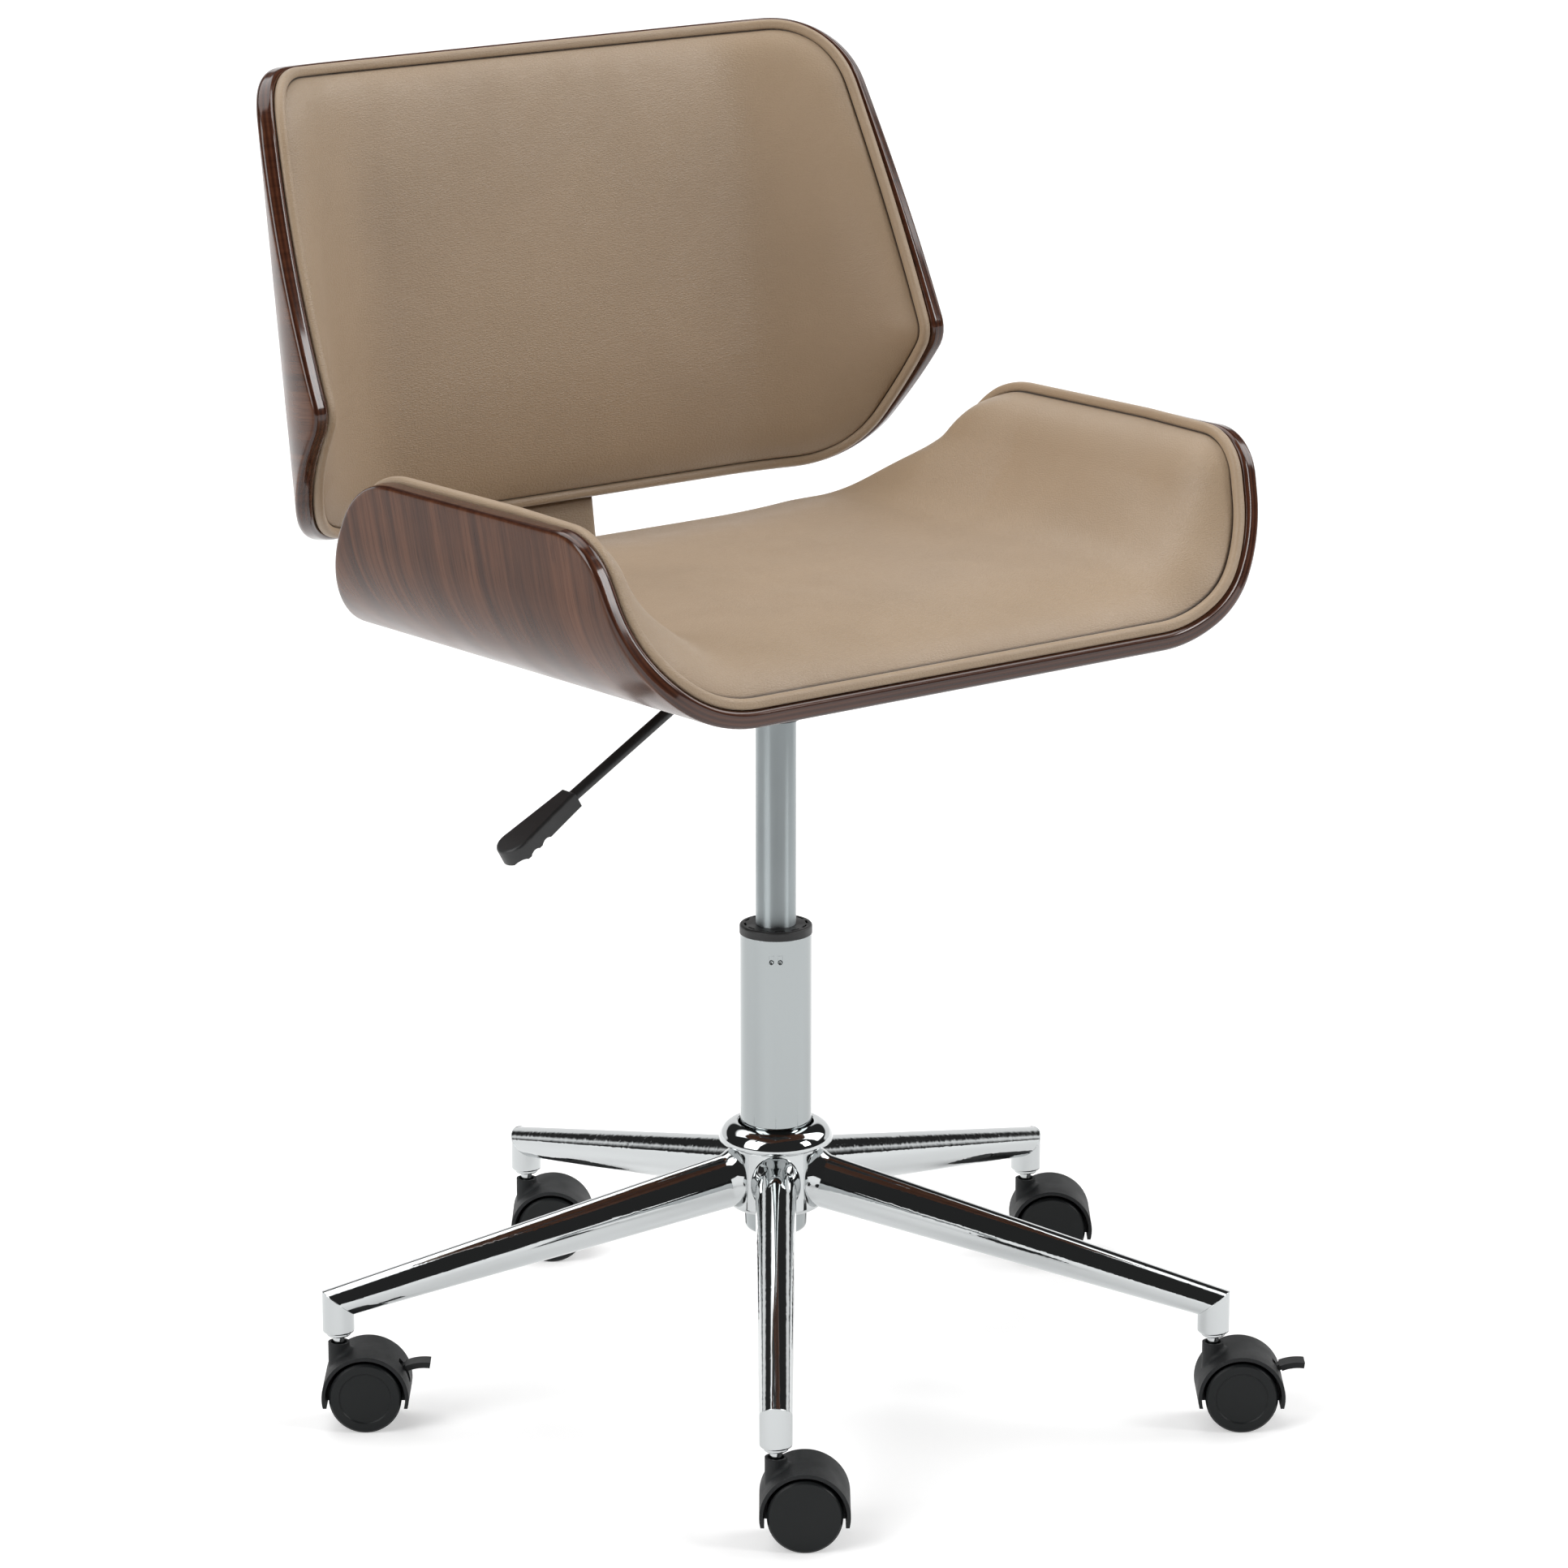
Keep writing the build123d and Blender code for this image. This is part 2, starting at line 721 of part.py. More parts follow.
parts["taper_socket"] = turned([
    (cylinder_radius, taper_socket_bottom),
    (socket_outer_radius, taper_socket_bottom),
    (socket_outer_radius, taper_socket_top),
    (
        cylinder_radius - (cylinder_radius - taper_top_radius)
        * (taper_socket_top - taper_socket_bottom) / (cylinder_top - taper_socket_bottom),
        taper_socket_top,
    ),
])

# Back support bar: bolted under the seat, bent up behind it and bolted to the rear of the back
bar_middle = ply_thickness + bar_thickness / 2
back_line = back_sheet.point(0, 0, -bar_middle)
seat_line = seat_sheet.point(0, 0, -bar_middle)
seat_slope = -tan(radians(seat_tilt))
back_slope = tan(radians(back_recline))
level_below = seat_line.Z + (back_line.Y - seat_line.Y) * seat_slope
corner_rise = (level_below - back_line.Z) / (1 - seat_slope * back_slope)
bar_corner = (back_line.Y + corner_rise * back_slope, back_line.Z + corner_rise)


def bar_path(front, rise):
    """Spine of the bar in the middle plane: along under the seat, round the bend, up the back."""
    first = seat_sheet.point(0, front, -bar_middle)
    last = back_sheet.point(0, rise, -bar_middle)
    return FilletPolyline((first.Y, first.Z), bar_corner, (last.Y, last.Z), radius=bar_bend_radius)


def bar_solid(front, rise, width, thickness):
    """Flat bar of one width and thickness along the spine."""
    profile = Plane.YZ * trace(bar_path(front, rise), thickness)
    return extrude(profile, amount=width / 2, both=True)


bar = bar_solid(bar_front, bar_rise, bar_width, bar_thickness)
bar_places = [
    seat_sheet.point(x, bar_front + bar_bolt_front, 0)
    for x in (-bar_bolt_half, bar_bolt_half)
]
back_places = [
    back_sheet.point(x, level, 0)
    for x in (-bar_bolt_half, bar_bolt_half)
    for level in back_bolt_levels
]
for place in bar_places:
    bar -= seat_frame(place) * bolt_hole
for place in back_places:
    bar -= back_frame(place) * bolt_hole
parts["back_bar"] = bar

sleeve_front = seat_rear + sleeve_margin
sleeve_rise = -sleeve_top_gap
hollow = 2 * sleeve_gap
wrap = hollow + 2 * sleeve_wall
sleeve = bar_solid(sleeve_front, sleeve_rise, bar_width + wrap, bar_thickness + wrap)
sleeve -= bar_solid(bar_front, bar_rise, bar_width + hollow, bar_thickness + hollow)
parts["bar_sleeve"] = sleeve

for place in plate_places + bar_places:
    parts["seat_shell"] -= seat_frame(place) * tee_seat
for place in back_places:
    parts["back_shell"] -= back_frame(place) * tee_seat
tee_nuts = [seat_frame(place) * tee_nut for place in plate_places + bar_places]
tee_nuts += [back_frame(place) * tee_nut for place in back_places]
parts["tee_nuts"] = Compound(children=tee_nuts)


def driven(frame, carried):
    """A bolt through a carried thickness into its tee nut, seen from the ply's inner face."""
    return frame * (Pos(0, 0, -ply_thickness - carried) * bolt(carried + ply_thickness - part_gap))


parts["seat_bolts"] = Compound(
    children=[driven(seat_frame(place), dish_wall) for place in plate_places]
    + [driven(seat_frame(place), bar_thickness) for place in bar_places]
)
parts["back_bolts"] = Compound(
    children=[driven(back_frame(place), bar_thickness) for place in back_places]
)

# Height lever: a bent rod on a pin between two ears in the dish, with a moulded paddle
outward = Vector(-cos(lever_slope), 0, -sin(lever_slope))
pivot = Vector(lever_pivot_x, 0, lever_pivot_level)
handle_root = pivot + outward * handle_start
rod_end = pivot + outward * (handle_start + handle_bore_depth)
lever_path = Plane.XZ * FilletPolyline(
    (lever_inner_end, lever_pivot_level),
    (pivot.X, pivot.Z),
    (rod_end.X, rod_end.Z),
    radius=lever_bend,
)
lever_start = Plane(origin=(lever_inner_end, 0, lever_pivot_level), z_dir=(-1, 0, 0))
lever = sweep(lever_start * Circle(lever_radius), path=lever_path)
eye_frame = Pos(pivot.X, 0, pivot.Z) * Rot(90, 0, 0)
lever += eye_frame * Cylinder(lever_eye_radius, 2 * lever_eye_half)
lever -= eye_frame * Cylinder(lever_pin_radius + fit_clearance, 4 * lever_eye_half)
parts["lever_rod"] = lever

ear_inside = lever_eye_half + part_gap
ear_block = Box(
    2 * ear_half_width, 2 * (ear_inside + ear_thickness), ear_top - ear_bottom,
    align=(Align.CENTER, Align.CENTER, Align.MIN),
)
ear_hollow = Box(
    4 * ear_half_width, 2 * ear_inside, ear_top - ear_bottom,
    align=(Align.CENTER, Align.CENTER, Align.MIN),
)
bracket = Pos(pivot.X, 0, ear_bottom) * (ear_block - Pos(0, 0, ear_thickness) * ear_hollow)
bracket -= dish_block(-2 * dish_wall, -2 * dish_wall) - dish_block(dish_wall, dish_wall)
bracket -= eye_frame * Cylinder(lever_pin_radius, 4 * (ear_inside + ear_thickness))
parts["lever_bracket"] = bracket
parts["lever_pin"] = eye_frame * Cylinder(lever_pin_radius, 2 * (ear_inside + ear_thickness))

handle_plane = Plane(origin=handle_root, x_dir=outward, z_dir=(outward.Z, 0, -outward.X))
tip_middle = handle_length - handle_tip_radius
paddle = make_hull((Pos(tip_middle, 0) * Circle(handle_tip_radius)).edges()
                   + Line((0, -handle_root_half), (0, handle_root_half)).edges())
paddle = extrude(paddle, amount=handle_thickness / 2, both=True)
paddle = fillet(paddle.edges().group_by(Axis.Z)[-1], handle_round)
for index in range(notch_count):
    along = handle_length - handle_tip_radius / 2 - notch_pitch * index
    notch = Rot(90, 0, 0) * Cylinder(notch_radius, 4 * handle_tip_radius)
    paddle -= Pos(along, 0, -handle_thickness / 2 - notch_radius + notch_depth) * notch
paddle -= Rot(0, 90, 0) * Cylinder(lever_radius, 2 * handle_bore_depth)
parts["lever_handle"] = handle_plane * paddle

# Casters: hood with its web and boss, axle, two wheels and, on two of them, a brake pedal
axle_line = Pos(caster_trail, 0, wheel_radius) * Rot(-90, 0, 0)
bay_half = hood_web / 2
wheel_inside = bay_half + wheel_side_gap
wheel_outside = wheel_inside + wheel_width
hood_half = wheel_outside + hood_lip
axle_half = wheel_outside - wheel_disc / 2 - part_gap
pedal_pivot = Vector(caster_trail + pedal_pivot_out, 0, wheel_radius + pedal_pivot_up)
pedal_tip = Vector(caster_trail + pedal_reach, 0, wheel_radius + pedal_tip_up)


def wheel(recess):
    """Wheel turned on its axle: flat closed disc outside, hollow behind it, hub on the axle."""
    rim = wheel_radius - wheel_tread
    bore = axle_radius + fit_clearance
    face = wheel_outside - recess
    profile = [
        (0, wheel_outside - wheel_disc / 2),
        (bore, wheel_outside - wheel_disc / 2),
        (bore, wheel_inside),
        (wheel_hub_radius, wheel_inside),
        (wheel_hub_radius, wheel_outside - wheel_disc),
        (rim, wheel_outside - wheel_disc),
        (rim, wheel_inside),
        (wheel_radius, wheel_inside),
        (wheel_radius, wheel_outside - wheel_edge_round),
        (wheel_radius - wheel_edge_round, wheel_outside),
    ]
    if recess:
        profile += [(wheel_ring_radius, wheel_outside), (wheel_ring_radius - recess, face)]
    profile += [(0, face)]
    return axle_line * turned(profile)


def hood(braked):
    """Arched hood: a web between the wheels, a fender over them and the boss for the stem."""
    shape = axle_line * Cylinder(hood_radius, 2 * hood_half) + rod(boss_radius, stem_foot_level, boss_top)
    shape = fillet(shape.edges().filter_by(GeomType.BSPLINE), boss_blend)
    shape = fillet(shape.edges().filter_by(GeomType.CIRCLE).group_by(SortBy.RADIUS)[-1], hood_edge_round)
    bay = Cylinder(hood_radius - hood_wall, 2 * hood_half, align=(Align.CENTER, Align.CENTER, Align.MIN))
    for side in (1, -1):
        shape -= axle_line * (Rot(90 - 90 * side, 0, 0) * (Pos(0, 0, bay_half) * bay))
    below = Box(4 * hood_radius, 4 * hood_half, 2 * hood_skirt_level)
    shape -= Pos(caster_trail, 0, 0) * below
    shape -= rod(stem_neck_radius + fit_clearance, stem_foot_level, boss_top)
    shape -= rod(boss_mouth_radius, boss_top - boss_mouth_depth, boss_top)
    shape -= axle_line * Cylinder(axle_radius, 2 * hood_half)
    if braked:
        slot_half = pedal_shank_width / 2 + pedal_slot_gap
        slot_size = hood_radius - pedal_pivot_out + pedal_eye_radius + pedal_slot_gap
        slot_height = 2 * (pedal_eye_radius + pedal_slot_gap) + 2 * pedal_thickness
        slot_middle_x = pedal_pivot.X + slot_size - pedal_eye_radius - pedal_slot_gap
        shape -= Pos(slot_middle_x, 0, pedal_pivot.Z) * Box(2 * slot_size, 2 * slot_half, slot_height)
        shape -= Pos(pedal_pivot.X, 0, pedal_pivot.Z) * (
            Rot(90, 0, 0) * Cylinder(pedal_pin_radius + fit_clearance, hood_web)
        )
    return shape


def pedal():
    """Brake pedal: an eye on trunnions in the web and a toe plate that rises and then levels."""
    reach = pedal_tip - pedal_pivot
    knee = pedal_pivot + Vector(pedal_knee_out * reach.X, 0, pedal_knee_up * reach.Z)
    spine = ThreePointArc((pedal_pivot.X, pedal_pivot.Z), (knee.X, knee.Z), (pedal_tip.X, pedal_tip.Z))
    blade = extrude(Plane.XZ * trace(spine, pedal_thickness), amount=pedal_width / 2, both=True)
    clear = axle_line * Cylinder(hood_radius + pedal_blade_gap, 2 * hood_half)
    shank = extrude(Plane.XZ * trace(spine, pedal_thickness), amount=pedal_shank_width / 2, both=True)
    frame = Pos(pedal_pivot.X, 0, pedal_pivot.Z) * Rot(90, 0, 0)
    shape = (blade - clear) + shank
    shape += frame * Cylinder(pedal_eye_radius, pedal_shank_width)
    shape += frame * Cylinder(pedal_pin_radius, hood_web)
    return shape


for number in range(1, arm_count + 1):
    angle = first_arm_angle + 360 / arm_count * (number - 1)
    stem_x = stem_circle_radius * cos(radians(angle))
    stem_y = stem_circle_radius * sin(radians(angle))
    stand = Location((stem_x, stem_y, 0), (0, 0, trail_angle))
    braked = number in braked_casters
    ring_wheel = wheel(wheel_ring_depth if braked else 0)
    parts[f"caster_hood_{number}"] = stand * hood(braked)
    parts[f"caster_axle_{number}"] = stand * (axle_line * Cylinder(axle_radius, 2 * axle_half))
    parts[f"caster_wheel_{number}_near"] = stand * (mirror(ring_wheel, Plane.XZ))
    parts[f"caster_wheel_{number}_far"] = stand * ring_wheel
    if braked:
        parts[f"brake_pedal_{number}"] = stand * pedal()

os.makedirs("parts", exist_ok=True)
for node, shape in parts.items():
    export_step(shape, f"parts/{node}.step")
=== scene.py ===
from math import cos, pi, radians, sin, tan

import bpy
import numpy as np
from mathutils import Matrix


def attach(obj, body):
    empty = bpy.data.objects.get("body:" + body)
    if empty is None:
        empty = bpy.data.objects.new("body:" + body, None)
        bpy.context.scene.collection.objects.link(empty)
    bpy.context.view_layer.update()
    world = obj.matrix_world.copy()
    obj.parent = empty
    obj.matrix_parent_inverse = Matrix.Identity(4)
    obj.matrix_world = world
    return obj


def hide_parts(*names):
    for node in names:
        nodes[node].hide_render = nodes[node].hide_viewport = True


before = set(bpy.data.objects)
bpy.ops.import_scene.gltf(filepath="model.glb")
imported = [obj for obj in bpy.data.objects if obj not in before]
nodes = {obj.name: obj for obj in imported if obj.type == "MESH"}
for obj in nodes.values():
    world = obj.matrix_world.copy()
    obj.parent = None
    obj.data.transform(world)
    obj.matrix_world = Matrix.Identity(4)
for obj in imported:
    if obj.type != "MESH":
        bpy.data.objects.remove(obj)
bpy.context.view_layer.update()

# Star base: tapering oval tubes welded to a hub, with a domed collar and upright sockets, all in
# bright chrome over polished steel. The stems and liners of the casters share the same plating.
chrome_colour = (0.53, 0.55, 0.555)
chrome_roughness = (0.02, 0.06)
smudge_scale = 22.0
chrome_edge = 0.0005
cloud_detail = 4.0
cloud_span = (0.35, 0.65)
edge_samples = 4


def group_of(name, inputs, outputs):
    """A shader node group with named float inputs (with defaults) and named float outputs."""
    group = bpy.data.node_groups.new(name, "ShaderNodeTree")
    for socket, value in inputs.items():
        made = group.interface.new_socket(socket, in_out="INPUT", socket_type="NodeSocketFloat")
        made.default_value = value
    for socket in outputs:
        group.interface.new_socket(socket, in_out="OUTPUT", socket_type="NodeSocketFloat")
    return group, group.nodes.new("NodeGroupInput"), group.nodes.new("NodeGroupOutput")


def mottle_group():
    """Soft clouds over a surface: noise on object coordinates, spread between two values."""
    group, given, result = group_of("mottle", {"Scale": 20.0, "Low": 0.3, "High": 0.5}, ["Value"])
    place = group.nodes.new("ShaderNodeTexCoord")
    noise = group.nodes.new("ShaderNodeTexNoise")
    noise.inputs["Detail"].default_value = cloud_detail
    spread = group.nodes.new("ShaderNodeMapRange")
    spread.inputs["From Min"].default_value = cloud_span[0]
    spread.inputs["From Max"].default_value = cloud_span[1]
    group.links.new(place.outputs["Object"], noise.inputs["Vector"])
    group.links.new(given.outputs["Scale"], noise.inputs["Scale"])
    group.links.new(noise.outputs["Fac"], spread.inputs["Value"])
    group.links.new(given.outputs["Low"], spread.inputs["To Min"])
    group.links.new(given.outputs["High"], spread.inputs["To Max"])
    group.links.new(spread.outputs["Result"], result.inputs["Value"])
    return group


mottle = mottle_group()


def finish(name, colour, roughness, scale, metallic=0.0):
    """A material whose roughness drifts between two values; returns it with its tree and shader."""
    material = bpy.data.materials.new(name)
    material.use_nodes = True
    tree = material.node_tree
    shader = tree.nodes["Principled BSDF"]
    shader.inputs["Base Color"].default_value = (*colour, 1.0)
    shader.inputs["Metallic"].default_value = metallic
    clouds = tree.nodes.new("ShaderNodeGroup")
    clouds.node_tree = mottle
    clouds.inputs["Scale"].default_value = scale
    clouds.inputs["Low"].default_value = roughness[0]
    clouds.inputs["High"].default_value = roughness[1]
    tree.links.new(clouds.outputs["Value"], shader.inputs["Roughness"])
    return material, tree, shader


def soften(tree, shader, radius):
    """Edges of a turned or moulded piece catch the light as if rounded by a radius."""
    bevel = tree.nodes.new("ShaderNodeBevel")
    bevel.samples = edge_samples
    bevel.inputs["Radius"].default_value = radius
    tree.links.new(bevel.outputs["Normal"], shader.inputs["Normal"])
    return bevel


def dress(material, names):
    """Gives CAD nodes a material in place of their plain one."""
    for name in names:
        mesh = nodes[name].data
        mesh.materials.clear()
        mesh.materials.append(material)


chrome, chrome_tree, chrome_shader = finish(
    "bright_chrome", chrome_colour, chrome_roughness, smudge_scale, metallic=1.0)
soften(chrome_tree, chrome_shader, chrome_edge)
dress(chrome, ["hub_sleeve", "hub_collar", "caster_sockets", "socket_inserts", "caster_stems"])
dress(chrome, [f"base_arm_{number}" for number in range(1, 6)])

# Casters: moulded nylon hoods with a fine spark-eroded grain over pairs of smoother nylon wheels.
# Two of them have a toe pedal. The axles are plain steel pins hidden between the wheels.
hood_colour = (0.016, 0.0172, 0.018)
hood_roughness = (0.5, 0.62)
hood_clouds = 40.0
hood_grain = (1500.0, 0.0004, 0.5)
hood_edge = 0.0005
wheel_colour = (0.009, 0.0105, 0.011)
wheel_roughness = (0.34, 0.44)
wheel_clouds = 30.0
wheel_grain = (700.0, 0.0002, 0.15)
wheel_edge = 0.0006
pedal_colour = (0.013, 0.0138, 0.0145)
pedal_roughness = (0.42, 0.52)
pedal_grain = (1500.0, 0.0003, 0.3)
pedal_edge = 0.0006
nylon_gloss = 0.22
steel_colour = (0.55, 0.55, 0.56)
steel_roughness = (0.28, 0.4)
steel_clouds = 60.0
steel_edge = 0.0003
grain_detail = 2.0


def grain_group():
    """Moulded grain: fine noise on object coordinates, as a height from 0 to 1."""
    group, given, result = group_of("moulded_grain", {"Scale": 1000.0}, ["Height"])
    place = group.nodes.new("ShaderNodeTexCoord")
    noise = group.nodes.new("ShaderNodeTexNoise")
    noise.inputs["Detail"].default_value = grain_detail
    group.links.new(place.outputs["Object"], noise.inputs["Vector"])
    group.links.new(given.outputs["Scale"], noise.inputs["Scale"])
    group.links.new(noise.outputs["Fac"], result.inputs["Height"])
    return group


moulded_grain = grain_group()


def grained(name, colour, roughness, clouds, grain, edge, gloss=0.5):
    """A moulded or coated finish: drifting roughness, softened edges, and grain as a bump of a real depth.
    The grain is given as its scale, its depth and the bump's strength."""
    material, tree, shader = finish(name, colour, roughness, clouds)
    shader.inputs["Specular IOR Level"].default_value = gloss
    scale, depth, strength = grain
    pattern = tree.nodes.new("ShaderNodeGroup")
    pattern.node_tree = moulded_grain
    pattern.inputs["Scale"].default_value = scale
    bump = tree.nodes.new("ShaderNodeBump")
    bump.inputs["Strength"].default_value = strength
    bump.inputs["Distance"].default_value = depth
    tree.links.new(soften(tree, shader, edge).outputs["Normal"], bump.inputs["Normal"])
    tree.links.new(pattern.outputs["Height"], bump.inputs["Height"])
    tree.links.new(bump.outputs["Normal"], shader.inputs["Normal"])
    return material


hood_nylon = grained(
    "hood_nylon", hood_colour, hood_roughness, hood_clouds, hood_grain, hood_edge, nylon_gloss)
wheel_nylon = grained(
    "wheel_nylon", wheel_colour, wheel_roughness, wheel_clouds, wheel_grain, wheel_edge, nylon_gloss)
pedal_nylon = grained(
    "pedal_nylon", pedal_colour, pedal_roughness, hood_clouds, pedal_grain, pedal_edge, nylon_gloss)
plain_steel, steel_tree, steel_shader = finish(
    "plain_steel", steel_colour, steel_roughness, steel_clouds, metallic=1.0)
soften(steel_tree, steel_shader, steel_edge)

dress(hood_nylon, [f"caster_hood_{number}" for number in range(1, 6)])
dress(plain_steel, [f"caster_axle_{number}" for number in range(1, 6)])
for number in range(1, 6):
    dress(wheel_nylon, [f"caster_wheel_{number}_near", f"caster_wheel_{number}_far"])
dress(pedal_nylon, ["brake_pedal_2", "brake_pedal_5"])

# Gas column: a chromed outer tube and a satin ground cylinder that slides in its black nylon bush. The
# rod, its clip and the thrust bearing at its foot are plain steel, and the valve button is black nylon.
# Painted shade: the tube's chrome is darker than the base's, standing in for the dim, shadowed surroundings
# it reflects.
shaded_tube_colour = (0.36, 0.385, 0.39)
tube_roughness = (0.05, 0.09)
cylinder_colour = (0.34, 0.375, 0.385)
cylinder_roughness = (0.38, 0.44)
cylinder_clouds = 9.0
grinding_draw = 0.88
grinding_turn = 0.25
bush_colour = (0.012, 0.0125, 0.013)
bush_roughness = (0.42, 0.55)
bush_clouds = 60.0
bush_grain = (700.0, 0.0003, 0.25)
bush_edge = 0.0004

ground_steel, ground_tree, ground_shader = finish(
    "ground_steel", cylinder_colour, cylinder_roughness, cylinder_clouds, metallic=1.0)
ground_shader.inputs["Anisotropic"].default_value = grinding_draw
ground_shader.inputs["Anisotropic Rotation"].default_value = grinding_turn
# The tube's darker chrome is painted shade, not a different plating.
shaded_tube_chrome, tube_tree, tube_shader = finish(
    "shaded_tube_chrome", shaded_tube_colour, tube_roughness, smudge_scale, metallic=1.0)
soften(tube_tree, tube_shader, chrome_edge)
bush_nylon = grained("bush_nylon", bush_colour, bush_roughness, bush_clouds, bush_grain, bush_edge)

dress(shaded_tube_chrome, ["column_tube"])
dress(ground_steel, ["gas_cylinder"])
dress(bush_nylon, ["column_bush", "release_button"])
dress(plain_steel, ["piston_rod", "rod_clip", "thrust_bearing"])

# Seat mount: a pressed steel dish in black powder coat, with a taper socket for the column, bolts
# into tee nuts in the ply, and a pin in two ears that carries the lever.
coat_colour = (0.012, 0.0125, 0.013)
coat_roughness = (0.36, 0.48)
coat_clouds = 50.0
coat_grain = (420.0, 0.0004, 0.25)
coat_edge = 0.0006

powder_coat = grained("powder_coat", coat_colour, coat_roughness, coat_clouds, coat_grain, coat_edge)
dress(powder_coat, ["mount_dish", "lever_bracket", "back_bar", "taper_socket"])
dress(plain_steel, ["seat_bolts", "back_bolts", "tee_nuts", "lever_pin"])

# Height lever: a bent steel rod on its pin in the same powder coat, with a moulded nylon paddle grip
# pushed over its end, scalloped below for the fingers.
grip_colour = (0.013, 0.0135, 0.0145)
grip_roughness = (0.36, 0.46)
grip_clouds = 45.0
grip_grain = (1500.0, 0.0003, 0.25)
grip_edge = 0.0009

grip_nylon = grained("grip_nylon", grip_colour, grip_roughness, grip_clouds, grip_grain, grip_edge)
dress(powder_coat, ["lever_rod"])
dress(grip_nylon, ["lever_handle"])

# Seat and back shells: flat walnut-faced ply blanks pressed into bends, cut square, eased along the
# edges and lacquered. The grain runs round each bend and the cut edge shows the plies as stripes.
ply_thickness = 0.012
ply_ease = 0.0034
ply_count = 7
blank_grid_across = 150
blank_grid_along = 72
corner_steps = 65
rim_arc_steps = 5
rim_side_steps = 6
ride_from = 0.9
ride_ease = 0.08
ride_behind = 0.03
ride_run = 0.1
veneer_colour = (0.1, 0.04, 0.02)
veneer_roughness = (0.2, 0.26)
veneer_clouds = 25.0
veneer_gloss = 0.19
lacquer_ior = 1.55
lacquer_roughness = 0.06
rim_polish = 0.6
rim_span = (0.02, 0.07)
figure_drawn = (64.0, 2.0, 6.0, 0.5)
figure_stops = [(0.3, (0.052, 0.019, 0.0097)), (0.5, (0.098, 0.038, 0.0185)), (0.72, (0.14, 0.0565, 0.028))]
streak_drawn = (230.0, 4.0, 3.0, 0.2)
streak_stops = [(0.36, (0.5, 0.45, 0.42)), (0.62, (1.0, 1.0, 1.0))]
streak_share = 0.7
pore_drawn = (1100.0, 34.0, 2.0, 0.0)
pore_stops = [(0.34, (0.55, 0.5, 0.48)), (0.46, (1.0, 1.0, 1.0))]
pore_share = 0.75
ply_stops = [(0.1, (0.044, 0.014, 0.0072)), (0.5, (0.063, 0.021, 0.0108)), (0.9, (0.092, 0.032, 0.0158))]
ply_streak_share = 0.6


